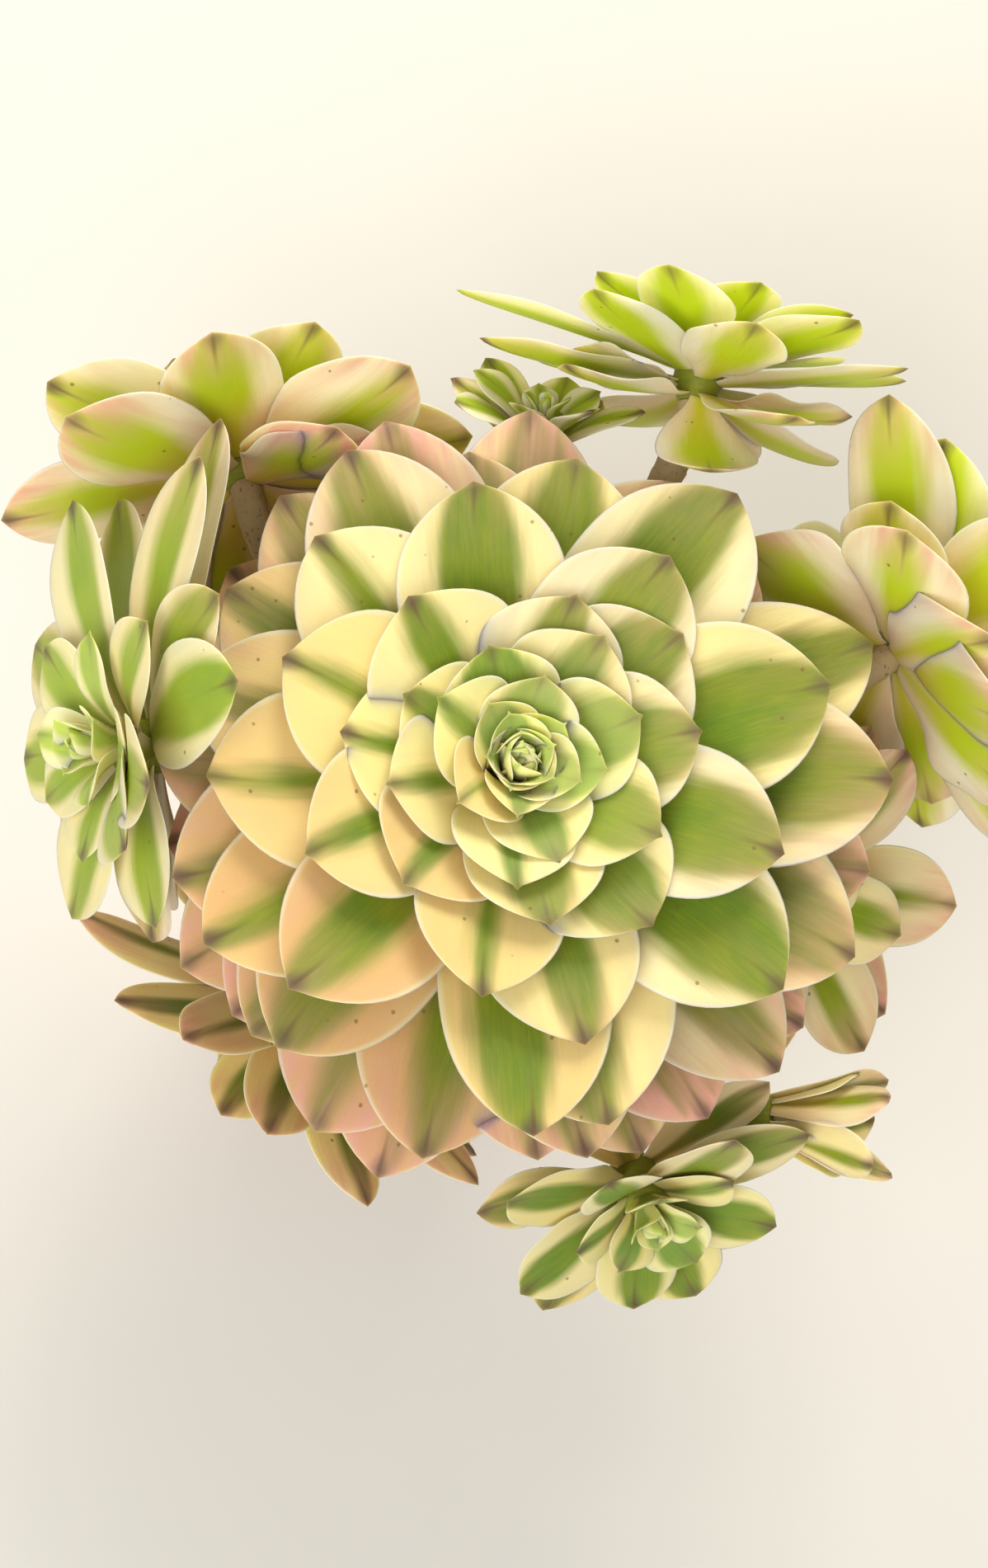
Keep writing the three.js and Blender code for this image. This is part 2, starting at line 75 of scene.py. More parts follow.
# ------------------------------------------------------------------ floor and studio light
# A plain pale floor of matt painted board. One large soft light stands behind and above the
# plant, so that the upper rosettes glow, with a broader one on the camera's side.


def linear(hex_colour):
    """An sRGB hex colour as linear RGBA."""
    values = []
    for start in (1, 3, 5):
        value = int(hex_colour[start:start + 2], 16) / 255
        values.append(value / 12.92 if value <= 0.04045 else ((value + 0.055) / 1.055) ** 2.4)
    return (*values, 1.0)


def add_node(tree, kind, settings=None, links=None):
    """Adds a node. Settings are sockets by name or number, or else the node's own properties,
    and take colours as hex; links are its sockets with the output that feeds each."""
    node = tree.nodes.new(kind)
    for name, value in (settings or {}).items():
        if isinstance(value, str) and value.startswith("#"):
            value = linear(value)
        if isinstance(name, int) or name in node.inputs:
            node.inputs[name].default_value = value
        else:
            setattr(node, name, value)
    for name, output in (links or {}).items():
        tree.links.new(output, node.inputs[name])
    return node


def new_material(name):
    """An empty material and its tree."""
    material = bpy.data.materials.new(name)
    material.use_nodes = True
    material.node_tree.nodes.clear()
    return material, material.node_tree


def shaded(material, settings, links):
    """The material with its shader, which has these settings and links."""
    tree = material.node_tree
    shader = add_node(tree, "ShaderNodeBsdfPrincipled", settings, links)
    add_node(tree, "ShaderNodeOutputMaterial", links={"Surface": shader.outputs["BSDF"]})
    return material


def matt_board():
    """Painted board: matt, with a faint unevenness of the paint."""
    material, tree = new_material("matt_painted_board")
    place = add_node(tree, "ShaderNodeTexCoord").outputs["Object"]
    # Mottles of 167 mm, far broader than a roller leaves, so that they show.
    mottle = add_node(tree, "ShaderNodeTexNoise", {"Scale": 1 / (167 * MM), "Detail": 4.0},
                      {"Vector": place})
    shade = add_node(tree, "ShaderNodeMix", {"data_type": "RGBA", 6: "#d9d5cb", 7: "#dfdbd2"},
                     {0: mottle.outputs["Fac"]})
    return shaded(material, {"Roughness": 0.9}, {"Base Color": shade.outputs[2]})


FLOOR_HALF_SIDE = 6000
floor_mesh = bpy.data.meshes.new("floor")
floor_mesh.from_pydata([(x * FLOOR_HALF_SIDE * MM, y * FLOOR_HALF_SIDE * MM, 0.0)
                        for x, y in ((-1, -1), (1, -1), (1, 1), (-1, 1))], [], [(0, 1, 2, 3)])
floor_mesh.materials.append(matt_board())
floor = bpy.data.objects.new("floor", floor_mesh)
bpy.context.scene.collection.objects.link(floor)


def soft_light(name, place, aim, side, power, colour):
    """A square soft light that faces a point: places and side in metres, power in watts."""
    lamp = bpy.data.lights.new(name, "AREA")
    lamp.shape = "SQUARE"
    lamp.size = side
    lamp.energy = power
    lamp.color = linear(colour)[:3]
    light = bpy.data.objects.new(name, lamp)
    light.location = place
    light.rotation_euler = (Vector(aim) - Vector(place)).to_track_quat("-Z", "Y").to_euler()
    bpy.context.scene.collection.objects.link(light)


soft_light("light_behind", place=(0.15, 0.85, 0.95), aim=(0, 0, 0.22), side=0.6, power=12,
           colour="#fffaf0")
soft_light("light_in_front", place=(-0.5, -0.6, 1.15), aim=(0, 0.03, 0.2), side=1.0, power=15,
           colour="#ffffff")
world = bpy.data.worlds.new("studio")
world.use_nodes = True
sky = world.node_tree.nodes["Background"]
sky.inputs["Color"].default_value = linear("#eeecea")
sky.inputs["Strength"].default_value = 0.45
bpy.context.scene.world = world
bpy.context.scene.view_settings.view_transform = "Standard"

# ------------------------------------------------------------------ pot
# A common clay pot, thrown in red earthenware with a banded rim and three drain holes, fired
# without a glaze. Fine throwing lines run round it, and lime has bloomed on its wall.

POT_HEIGHT = 100
POT_FOOT_RADIUS = 43
POT_MOUTH_RADIUS = 58
POT_WALL = 5
POT_BAND_HEIGHT = 20
POT_BAND_STEP = 3
POT_BAND_SLOPE = 1.5
DRAIN_HOLES = 3
DRAIN_RADIUS = 4
DRAIN_CIRCLE = 24
DRAIN_SIDES = 32
THROWING_LINE_DEPTH = 0.12
THROWING_LINE_SPACING = 3.1
THROWING_LINE_DRIFT = 0.4
WALL_WANDER = 0.15
PLAIN_FOOT, PLAIN_LIP = 2, 3
POT_SIDES = 144
LONGEST_STEP = 1.5


def pot_radius(z):
    return POT_FOOT_RADIUS + (POT_MOUTH_RADIUS - POT_FOOT_RADIUS) * z / POT_HEIGHT


def rounded_corner(before, corner, after, radius, steps=4):
    """Points that round a corner of a profile off."""
    before, corner, after = Vector(before), Vector(corner), Vector(after)
    start = corner + (before - corner).normalized() * radius
    end = corner + (after - corner).normalized() * radius
    points = []
    for i in range(steps + 1):
        t = i / steps
        points.append(tuple((1 - t) ** 2 * start + 2 * t * (1 - t) * corner + t * t * end))
    return points


def pot_profile():
    """The pot's section from the middle of its underside round to the middle of its floor."""
    band_foot = POT_HEIGHT - POT_BAND_HEIGHT
    wall = pot_radius(band_foot)
    # Each corner, with the radius that a wet sponge rounds it to.
    corners = [((0, 0), 0), ((POT_FOOT_RADIUS, 0), 1.4), ((wall, band_foot), 0.8),
               ((wall + POT_BAND_STEP, band_foot + POT_BAND_SLOPE), 1.2),
               ((POT_MOUTH_RADIUS + POT_BAND_STEP, POT_HEIGHT), 1.8),
               ((POT_MOUTH_RADIUS - POT_WALL, POT_HEIGHT), 1.6),
               ((pot_radius(POT_WALL) - POT_WALL, POT_WALL), 3), ((0, POT_WALL), 0)]
    profile = []
    for i, (corner, radius) in enumerate(corners):
        if radius:
            profile += rounded_corner(corners[i - 1][0], corner, corners[i + 1][0], radius)
        else:
            profile.append(corner)
    return profile


def closer(profile, longest):
    """The profile with points added so that no step is longer than this."""
    points = [profile[0]]
    for (r0, z0), (r1, z1) in zip(profile, profile[1:]):
        steps = max(1, math.ceil(math.hypot(r1 - r0, z1 - z0) / longest))
        points += [(r0 + (r1 - r0) * i / steps, z0 + (z1 - z0) * i / steps)
                   for i in range(1, steps + 1)]
    return points


def turned_mesh(name, profile, sides, shift):
    """A mesh turned round Z from a profile that starts and ends on the axis. Shift moves a
    point: it takes its radius, height and angle and gives its new radius and height."""
    shape = bmesh.new()
    rings = []
    for r, z in profile:
        if r == 0:
            rings.append([shape.verts.new((0, 0, z * MM))])
            continue
        ring = []
        for j in range(sides):
            angle = 2 * math.pi * j / sides
            radius, height = shift(r, z, angle)
            ring.append(shape.verts.new((radius * math.cos(angle) * MM,
                                         radius * math.sin(angle) * MM, height * MM)))
        rings.append(ring)
    for lower, upper in zip(rings, rings[1:]):
        for j in range(sides):
            k = (j + 1) % sides
            face = [lower[j % len(lower)], lower[k % len(lower)],
                    upper[k % len(upper)], upper[j % len(upper)]]
            shape.faces.new(list(dict.fromkeys(face)))
    bmesh.ops.recalc_face_normals(shape, faces=shape.faces)
    mesh = bpy.data.meshes.new(name)
    shape.to_mesh(mesh)
    shape.free()
    mesh.polygons.foreach_set("use_smooth", [True] * len(mesh.polygons))
    return mesh


def thrown(r, z, angle):
    """The lines and slight wander that the thrower's fingers leave on the outer wall. The
    inner wall, the foot and the lip stay plain."""
    if r < pot_radius(z) - 0.3 * POT_WALL or not PLAIN_FOOT < z < POT_HEIGHT - PLAIN_LIP:
        return r, z
    line = math.sin(2 * math.pi * (z + THROWING_LINE_DRIFT * math.sin(angle))
                    / THROWING_LINE_SPACING)
    wander = WALL_WANDER * math.sin(2 * angle + 0.05 * z)
    return r + THROWING_LINE_DEPTH * (line - 1) + wander, z


def fired_earthenware():
    """Red earthenware, fired without a glaze: matt and slightly porous, its orange-brown broken
    by fine grog, pale lime bloom and darker damp near the foot."""
    material, tree = new_material("fired_earthenware")
    place = add_node(tree, "ShaderNodeTexCoord").outputs["Object"]
    height = add_node(tree, "ShaderNodeSeparateXYZ", links={"Vector": place}).outputs["Z"]
    # The firing clouds the clay in patches of 36 mm.
    cloud = add_node(tree, "ShaderNodeTexNoise", {"Scale": 1 / (36 * MM), "Detail": 6.0},
                     {"Vector": place})
    clay = add_node(tree, "ShaderNodeValToRGB", links={"Fac": cloud.outputs["Fac"]})
    clay.color_ramp.elements[0].position = 0.3
    clay.color_ramp.elements[0].color = linear("#9a4f2f")
    clay.color_ramp.elements[1].position = 0.7
    clay.color_ramp.elements[1].color = linear("#bf7048")
    # Grog grains of 0.6 mm.
    grains = add_node(tree, "ShaderNodeTexVoronoi", {"Scale": 1 / (0.6 * MM)},
                      {"Vector": place})
    grog = add_node(tree, "ShaderNodeMapRange",
                    {"From Max": 0.25, "To Min": 0.22, "To Max": 0.0},
                    {"Value": grains.outputs["Distance"]})
    # Lime blooms in patches of 22 mm, thickest under the band. Damp darkens the lowest 25 mm.
    bloom = add_node(tree, "ShaderNodeTexNoise", {"Scale": 1 / (22 * MM), "Detail": 8.0,
                                                  "Roughness": 0.65}, {"Vector": place})
    risen = add_node(tree, "ShaderNodeMapRange", {"From Min": 20 * MM, "From Max": 80 * MM,
                                                  "To Min": -0.16, "To Max": 0.02},
                     {"Value": height})
    bloom = add_node(tree, "ShaderNodeMath", {"operation": "ADD"},
                     {0: bloom.outputs["Fac"], 1: risen.outputs["Result"]})
    lime = add_node(tree, "ShaderNodeMapRange", {"From Min": 0.48, "From Max": 0.72,
                                                 "To Max": 0.5}, {"Value": bloom.outputs[0]})
    damp = add_node(tree, "ShaderNodeMapRange", {"From Max": 25 * MM, "To Min": 0.45,
                                                 "To Max": 0.0}, {"Value": height})
    colour = clay.outputs["Color"]
    for share, over in ((grog, "#d9a27a"), (lime, "#d8c6b2"), (damp, "#6e4330")):
        colour = add_node(tree, "ShaderNodeMix", {"data_type": "RGBA", 7: over},
                          {0: share.outputs["Result"], 6: colour}).outputs[2]
    # Pores of 0.5 mm.
    pores = add_node(tree, "ShaderNodeTexNoise", {"Scale": 1 / (0.5 * MM), "Detail": 3.0},
                     {"Vector": place})
    relief = add_node(tree, "ShaderNodeBump", {"Strength": 0.35, "Distance": 0.2 * MM},
                      {"Height": pores.outputs["Fac"]})
    return shaded(material, {"Roughness": 0.88, "Specular IOR Level": 0.35},
                  {"Base Color": colour, "Normal": relief.outputs["Normal"]})


def add_piece(name, mesh, material, node):
    """A finished piece: shown in place of its node, riding with the root, with this material."""
    piece = bpy.data.objects.new(name, mesh)
    bpy.context.scene.collection.objects.link(piece)
    mesh.materials.append(material)
    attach(piece, "root")
    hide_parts(node)
    return piece


pot_mesh = turned_mesh("clay_pot", closer(pot_profile(), LONGEST_STEP), POT_SIDES, thrown)
pot = add_piece("clay_pot", pot_mesh, fired_earthenware(), "pot")
for i in range(DRAIN_HOLES):
    angle = 2 * math.pi * (i + 0.5) / DRAIN_HOLES
    hole_mesh = bpy.data.meshes.new("drain_hole")
    hole_shape = bmesh.new()
    bmesh.ops.create_cone(hole_shape, cap_ends=True, segments=DRAIN_SIDES,
                          radius1=DRAIN_RADIUS * MM, radius2=DRAIN_RADIUS * MM,
                          depth=4 * POT_WALL * MM)
    hole_shape.to_mesh(hole_mesh)
    hole_shape.free()
    hole = bpy.data.objects.new("drain_hole", hole_mesh)
    hole.location = (DRAIN_CIRCLE * math.cos(angle) * MM, DRAIN_CIRCLE * math.sin(angle) * MM, 0)
    bpy.context.scene.collection.objects.link(hole)
    bored = pot.modifiers.new("bored", "BOOLEAN")
    bored.operation = "DIFFERENCE"
    bored.object = hole
    bpy.context.view_layer.update()
    seen = pot.evaluated_get(bpy.context.evaluated_depsgraph_get())
    cut = bpy.data.meshes.new_from_object(seen)
    pot.modifiers.clear()
    pot.data = cut
    bpy.data.objects.remove(hole)

# ------------------------------------------------------------------ potting mix
# A gritty mix for succulents: dark bark compost with crushed lava and pumice grains, heaped
# slightly round the trunk. Grains of 1.5 to 4 mm lie pressed into its surface.

CLEARANCE = 0.3
SOIL_TOP = POT_HEIGHT - 10
SOIL_DOME = 3
SOIL_LUMP = 0.6
SOIL_RINGS, SOIL_SIDES = 30, 120
TRUNK_FOOT_RADIUS = 11
TRUNK_DEPTH_IN_SOIL = 34
HOLE_RADIUS = TRUNK_FOOT_RADIUS + 2 * CLEARANCE
GRAINS = 620
GRAIN_SEED = 3
GRAIN_MARGIN = 2
GRAIN_DENT = 0.22
SMALLEST_GRAIN, LARGEST_GRAIN = 0.8, 2.1


def draw(seed, index, which):
    """A seeded draw from -1 to 1, the same that the solids are grown by."""
    wave = math.sin(seed * 12.9898 + index * 78.233 + which * 37.719) * 43758.5453
    return 2 * (wave - math.floor(wave)) - 1


def soil_reach(z):
    """The radius of the soil at a height, clear of the pot's inner wall."""
    return (POT_MOUTH_RADIUS - POT_WALL - 2 * CLEARANCE
            - (POT_MOUTH_RADIUS - pot_radius(POT_WALL)) * (POT_HEIGHT - z)
            / (POT_HEIGHT - POT_WALL))


def soil_height(r):
    share = (soil_reach(SOIL_TOP) - r) / (soil_reach(SOIL_TOP) - HOLE_RADIUS)
    return SOIL_TOP + SOIL_DOME * math.sin(max(0.0, min(1.0, share)) * math.pi / 2)


def crumbled(r, z, angle):
    """Lumps of 5 to 12 mm in the open surface."""
    if z < SOIL_TOP or r > soil_reach(SOIL_TOP) - 1 or r < HOLE_RADIUS + 1:
        return r, z
    x, y = r * math.cos(angle), r * math.sin(angle)
    lumps = (math.sin(0.55 * x + 1.3) * math.sin(0.61 * y + 0.4)
             + 0.6 * math.sin(1.27 * x - 0.8 * y) * math.cos(1.13 * y + 0.5 * x))
    return r, z + SOIL_LUMP * lumps


def soil_mesh():
    floor_height = POT_WALL + CLEARANCE
    hole_floor = SOIL_TOP - TRUNK_DEPTH_IN_SOIL - CLEARANCE
    rim = soil_reach(SOIL_TOP)
    profile = [(0, floor_height), (soil_reach(floor_height), floor_height), (rim, SOIL_TOP)]
    for i in range(1, SOIL_RINGS + 1):
        r = rim + (HOLE_RADIUS - rim) * i / SOIL_RINGS
        profile.append((r, soil_height(r)))
    profile += [(HOLE_RADIUS, hole_floor), (0, hole_floor)]
    mesh = turned_mesh("potting_mix", profile, SOIL_SIDES, crumbled)
    heap = bmesh.new()
    heap.from_mesh(mesh)
    nearest, farthest = HOLE_RADIUS + GRAIN_MARGIN, rim - GRAIN_MARGIN
    for i in range(GRAINS):
        far, round_by, big, tipped, spun, flat = (draw(GRAIN_SEED, i, k) for k in range(1, 7))
        r = math.sqrt(nearest ** 2 + (0.5 + 0.5 * far) * (farthest ** 2 - nearest ** 2))
        angle = math.pi * round_by
        size = SMALLEST_GRAIN + (LARGEST_GRAIN - SMALLEST_GRAIN) * (0.5 + 0.5 * big) ** 2
        _, height = crumbled(r, soil_height(r), angle)
        middle = Vector((r * math.cos(angle), r * math.sin(angle), height + 0.25 * size)) * MM
        turned = Matrix.Rotation(3 * tipped, 4, "X") @ Matrix.Rotation(3 * spun, 4, "Z")
        squeezed = Matrix.Diagonal((1, 0.75 + 0.2 * flat, 0.7, 1))
        grain = bmesh.ops.create_icosphere(
            heap, subdivisions=1, radius=size * MM,
            matrix=Matrix.Translation(middle) @ turned @ squeezed)
        for number, vert in enumerate(grain["verts"]):
            vert.co += (vert.co - middle) * GRAIN_DENT * draw(i, number, 7)
    heap.to_mesh(mesh)
    heap.free()
    return mesh


def bark_compost():
    """Composted bark with grit: dull dark brown, with ochre, rust and pale grey grains told
    apart by where they lie."""
    material, tree = new_material("gritty_compost")
    place = add_node(tree, "ShaderNodeTexCoord").outputs["Object"]
    # One colour for each grain of about 3 mm, under dust of 1.1 mm.
    grains = add_node(tree, "ShaderNodeTexVoronoi", {"Scale": 1 / (3 * MM)}, {"Vector": place})
    pick = add_node(tree, "ShaderNodeSeparateColor", links={"Color": grains.outputs["Color"]})
    colour = add_node(tree, "ShaderNodeValToRGB", links={"Fac": pick.outputs["Red"]})
    ramp = colour.color_ramp
    ramp.elements[0].color = linear("#2e2219")
    ramp.elements[1].position = 0.92
    ramp.elements[1].color = linear("#b9a88e")
    for position, shade in ((0.45, "#43322a"), (0.7, "#5d4331"), (0.82, "#7a4a36")):
        ramp.elements.new(position).color = linear(shade)
    dust = add_node(tree, "ShaderNodeTexNoise", {"Scale": 1 / (1.11 * MM), "Detail": 5.0},
                    {"Vector": place})
    dusty = add_node(tree, "ShaderNodeMix", {"data_type": "RGBA", "blend_type": "MULTIPLY",
                                             0: 0.6},
                     {6: colour.outputs["Color"], 7: dust.outputs["Color"]})
    relief = add_node(tree, "ShaderNodeBump", {"Strength": 0.6, "Distance": 0.5 * MM},
                      {"Height": dust.outputs["Fac"]})
    return shaded(material, {"Roughness": 0.95},
                  {"Base Color": dusty.outputs[2], "Normal": relief.outputs["Normal"]})


add_piece("potting_mix", soil_mesh(), bark_compost(), "soil")

# ------------------------------------------------------------------ trunk and branches
# One woody trunk with a bare branch to each rosette. The bark is pinkish grey-brown, ringed
# by the pale scars of fallen leaves, and greener and smoother near the rosettes.

MAIN_ROSETTE_HEIGHT = 250
TRUNK_RADIUS = 9
BRANCH_ROOT_RADIUS = 5.6
BRANCH_TIP_RADIUS = 4.6
# The heights between which branches leave the trunk, how far below its rosette one does at
# least, and the straight end with which it arrives.
LOWEST_BRANCH, HIGHEST_BRANCH = 108, 165
BRANCH_FALL = 15
ARRIVAL_LENGTH = 24
MAIN_CORE_RADIUS, MAIN_CORE_LENGTH = 9, 44
SIDE_CORE_RADIUS, SIDE_CORE_LENGTH = 5, 14
SCAR_SPACING = 4.2
SCAR_DEPTH = 0.35
LUMP_HEIGHT = 0.125
TRUNK_STEPS, TRUNK_SIDES = 240, 40
BRANCH_STEPS, BRANCH_SIDES = 200, 24

# Each rosette: where its youngest leaf stands, the way it faces, its radius and number of
# leaves, the azimuth of its youngest leaf, the hand of its spiral, the seed of its draws, and
# how far its leaves are raised (share of the radius) and arched. Breadth widens its leaves,
# looseness scatters them, and lean_x and lean_y lengthen those on one side. Turned (degrees),
# longer (share) and lifted (share of the radius) lay single leaves where the photo shows
# them. Under is how many more old leaves it has below, under_length how long they are. Then
# its look: how much painted backlight lightens its colours, as if light shone through it, how
# wide the green stripe is, how far it is mint rather than lime green, and how far it has
# flushed.
ROSETTES = [
    dict(name="rosette_main", at=(0, 0, MAIN_ROSETTE_HEIGHT), axis=(0, 0, 1), radius=92,
         leaves=74, phase=285, hand=-1, seed=1, raised=0, arch=0.10, breadth=1.16,
         core_radius=MAIN_CORE_RADIUS, core_length=MAIN_CORE_LENGTH, looseness=0.3,
         lean_x=0.086, lean_y=-0.034,
         turned={12: 5, 13: -9, 14: -11, 16: 20, 22: 11, 23: 8, 25: -12, 26: -3, 28: 4, 29: 3,
                 30: 7, 33: -10, 34: -7, 35: 3, 36: 4, 37: -12, 41: 4, 42: 5, 44: 8, 45: -4,
                 46: -3, 47: -15, 49: -4, 50: -20, 51: 4, 59: 3, 64: 7, 67: 12, 72: 3},
         longer={12: 0.88, 17: 0.9, 22: 0.88, 29: 1.06, 30: 0.95, 31: 1.07, 36: 1.07, 37: 1.05,
                 41: 1.12, 43: 0.95, 44: 1.04, 45: 1.03, 47: 0.96, 49: 1.1, 51: 1.1,
                 64: 1.1, 67: 1.1, 72: 1.1},
         lifted={64: 0.06, 67: 0.18, 72: 0.3},
         under=12, under_length=1.06, stripe=0.42, mint=0.25, flush=0.4),
    dict(name="rosette_left", at=(-93, 9, 227), axis=(-0.89, -0.12, 0.44), radius=64,
         leaves=30, phase=98, hand=1, seed=38, raised=-0.10, arch=0.12, lean_x=0.2,
         under=5, painted_backlight=0.25, stripe=0.5, mint=0.9, flush=0.2),
    dict(name="rosette_bottom", at=(47, -103, 193), axis=(0.14, -0.76, 0.64), radius=46,
         leaves=24, phase=200, hand=-1, seed=31, raised=0.15, arch=0, breadth=1.3,
         stripe=0.48, mint=0.55, flush=0.2),
    dict(name="rosette_upper_right", at=(121, 51, 217), axis=(0.73, 0.60, -0.33), radius=66,
         leaves=24, phase=24, hand=-1, seed=47, raised=0.05, arch=0.05, breadth=1.25,
         turned={17: 50}, longer={17: 0.75}, lifted={17: -0.2, 22: 0.3},
         under=10, painted_backlight=0.9, stripe=0.5, mint=0.0, flush=0.25),
    dict(name="rosette_top", at=(57, 123, 234), axis=(0.11, 0.96, 0.24), radius=57,
         leaves=29, phase=346, hand=1, seed=27, raised=0.12, arch=-0.03, breadth=1.15,
         turned={17: -3, 28: 35}, longer={17: 1.25, 28: 0.5}, lifted={28: -0.5},
         under=6, painted_backlight=1, stripe=0.58, mint=0.0, flush=0.1),
    dict(name="rosette_upper_left", at=(-65, 101, 195), axis=(-0.10, 0.91, -0.40), radius=64,
         leaves=26, phase=302, hand=1, seed=38, raised=-0.30, arch=0.05, breadth=1.2,
         under=12, under_length=0.85, painted_backlight=0.8, stripe=0.5, mint=0.0, flush=0.6),
    dict(name="rosette_right", at=(87, -17, 194), axis=(0.36, -0.32, 0.88), radius=60,
         leaves=24, phase=179, hand=1, seed=40, raised=0.1, arch=0.05, breadth=1.1,
         longer={12: 1.4, 17: 1.15, 19: 0.85, 22: 1.25},
         under=6, painted_backlight=0.2, stripe=0.3, mint=0.2, flush=0.9),
    dict(name="rosette_lower_left", at=(-42, -51, 168), axis=(-0.50, -0.66, -0.55), radius=65,
         leaves=34, phase=156, hand=-1, seed=47, raised=0.16, arch=0.06, breadth=0.8,
         stripe=0.22, mint=0.3, flush=0.8),
    dict(name="rosette_lower_right", at=(83, -81, 188), axis=(0.89, -0.14, 0.44), radius=18,
         leaves=14, phase=344, hand=1, seed=50, raised=2.1, arch=0, breadth=2.3,
         painted_backlight=0.1, stripe=0.4, mint=0.3, flush=0.3),
    dict(name="rosette_small_top", at=(16, 106, 217), axis=(-0.08, 0.64, 0.76), radius=28,
         leaves=16, phase=266, hand=1, seed=20, raised=0.5, arch=0, breadth=1.25,
         painted_backlight=0.6, stripe=0.5, mint=0.8, flush=0.1),
]
USUAL = dict(breadth=1.05, core_radius=SIDE_CORE_RADIUS, core_length=SIDE_CORE_LENGTH,
             looseness=1, lean_x=0, lean_y=0, turned={}, longer={}, lifted={}, painted_backlight=0,
             under=0, under_length=0.75)


def unit(vector):
    return vector / np.linalg.norm(vector)


for number, rosette in enumerate(ROSETTES):
    for key, value in USUAL.items():
        rosette.setdefault(key, value)
    rosette["number"] = number
    rosette["at"] = np.array(rosette["at"], float)
    rosette["axis"] = unit(np.array(rosette["axis"], float))
    side = np.array([1.0, 0, 0] if abs(rosette["axis"][0]) < 0.8 else [0, 1.0, 0])
    rosette["first"] = unit(side - (side @ rosette["axis"]) * rosette["axis"])
    rosette["second"] = np.cross(rosette["axis"], rosette["first"])
    rosette["base"] = rosette["at"] - rosette["axis"] * rosette["core_length"]


def branch_line(rosette, steps, shortened=0.0):
    """The middle line of a rosette's branch. It leaves the trunk low enough to rise outward
    and arrives along the rosette's axis."""
    base = rosette["base"]
    spread = math.hypot(base[0], base[1])
    leave = min(HIGHEST_BRANCH, max(LOWEST_BRANCH, base[2] - 0.55 * spread - BRANCH_FALL))
    start = np.array([0, 0, leave])
    outward = np.array([0.35 * base[0], 0.35 * base[1], leave + 0.1 * spread])
    arrival = min(ARRIVAL_LENGTH, 0.4 * np.linalg.norm(base - start))
    arrival = base - rosette["axis"] * arrival
    end = base - rosette["axis"] * shortened
    t = np.linspace(0, 1, steps)[:, None]
    q = 1 - t
    return q ** 3 * start + 3 * q * q * t * outward + 3 * q * t * t * arrival + t ** 3 * end


def tube_faces(rings, sides, closed=True):
    """Faces that join rings of points to a tube, with its two ends."""
    faces = []
    for i in range(rings - 1):
        for j in range(sides):
            k = (j + 1) % sides
            faces.append((i * sides + j, i * sides + k, (i + 1) * sides + k, (i + 1) * sides + j))
    if closed:
        last = (rings - 1) * sides
        faces += [tuple(reversed(range(sides))), tuple(range(last, last + sides))]
    return faces


def limb(seed, line, radius_root, radius_tip, sides):
    """A round limb along a line, with a raised lip and a shallow groove at each leaf scar:
    its points, its faces, and how young the wood is at each point."""
    lengths = np.r_[0, np.cumsum(np.linalg.norm(np.diff(line, axis=0), axis=1))]
    tangents = [unit(tangent) for tangent in np.gradient(line, axis=0)]
    across = np.array([1.0, 0, 0] if abs(tangents[0][1]) > 0.8 else [0, 1.0, 0])
    points, ages = [], []
    for centre, tangent, length in zip(line, tangents, lengths):
        across = unit(across - (across @ tangent) * tangent)
        other = np.cross(tangent, across)
        share = length / lengths[-1]
        radius = radius_root + (radius_tip - radius_root) * share
        for j in range(sides):
            angle = 2 * math.pi * j / sides
            # The scars wind round the limb, each a sharp lip over a groove.
            winding = (length / SCAR_SPACING + 0.5 * math.sin(angle + seed)
                       + 0.35 * math.sin(2 * angle + 2 * seed))
            lip = SCAR_DEPTH * ((winding - math.floor(winding)) ** 3 - 0.8)
            lumps = LUMP_HEIGHT * math.sin(3 * angle + 0.21 * length + seed)
            reach = radius + min(0.0, lip + lumps)
            points.append(centre + (across * math.cos(angle) + other * math.sin(angle)) * reach)
            ages.append([share])
    return points, tube_faces(len(line), sides), {"young_wood": ages}


def joined_mesh(name, parts):
    """One smooth mesh of parts. Each part is its points in mm, its faces, and what is marked
    on each point, by name: a number, a place on the skin (two), a vector or a colour."""
    faces, start = [], 0
    for points, part_faces, _ in parts:
        faces += [tuple(start + n for n in face) for face in part_faces]
        start += len(points)
    mesh = bpy.data.meshes.new(name)
    points = np.concatenate([part[0] for part in parts])
    mesh.from_pydata((points * MM).tolist(), [], faces)
    corners = np.zeros(len(mesh.loops), int)
    mesh.loops.foreach_get("vertex_index", corners)
    kinds = {1: ("FLOAT", "value"), 3: ("FLOAT_VECTOR", "vector"), 4: ("FLOAT_COLOR", "color")}
    for mark in parts[0][2]:
        rows = np.concatenate([part[2][mark] for part in parts])
        if rows.shape[1] == 2:
            layer = mesh.uv_layers.new(name=mark)
            layer.data.foreach_set("uv", rows[corners].ravel())
        else:
            kind, field = kinds[rows.shape[1]]
            attribute = mesh.attributes.new(mark, kind, "POINT")
            attribute.data.foreach_set(field, rows.ravel())
    mesh.polygons.foreach_set("use_smooth", [True] * len(mesh.polygons))
    return mesh


def stems_mesh():
    foot = np.array([0, 0, SOIL_TOP - TRUNK_DEPTH_IN_SOIL])
    top = ROSETTES[0]["base"] - np.array([0, 0, CLEARANCE])
    limbs = [limb(0, np.linspace(foot, top, TRUNK_STEPS), TRUNK_FOOT_RADIUS, TRUNK_RADIUS,
                  TRUNK_SIDES)]
    for rosette in ROSETTES[1:]:
        line = branch_line(rosette, BRANCH_STEPS, CLEARANCE)
        limbs.append(limb(rosette["number"], line, BRANCH_ROOT_RADIUS, BRANCH_TIP_RADIUS,
                          BRANCH_SIDES))
    return joined_mesh("woody_stems", limbs)


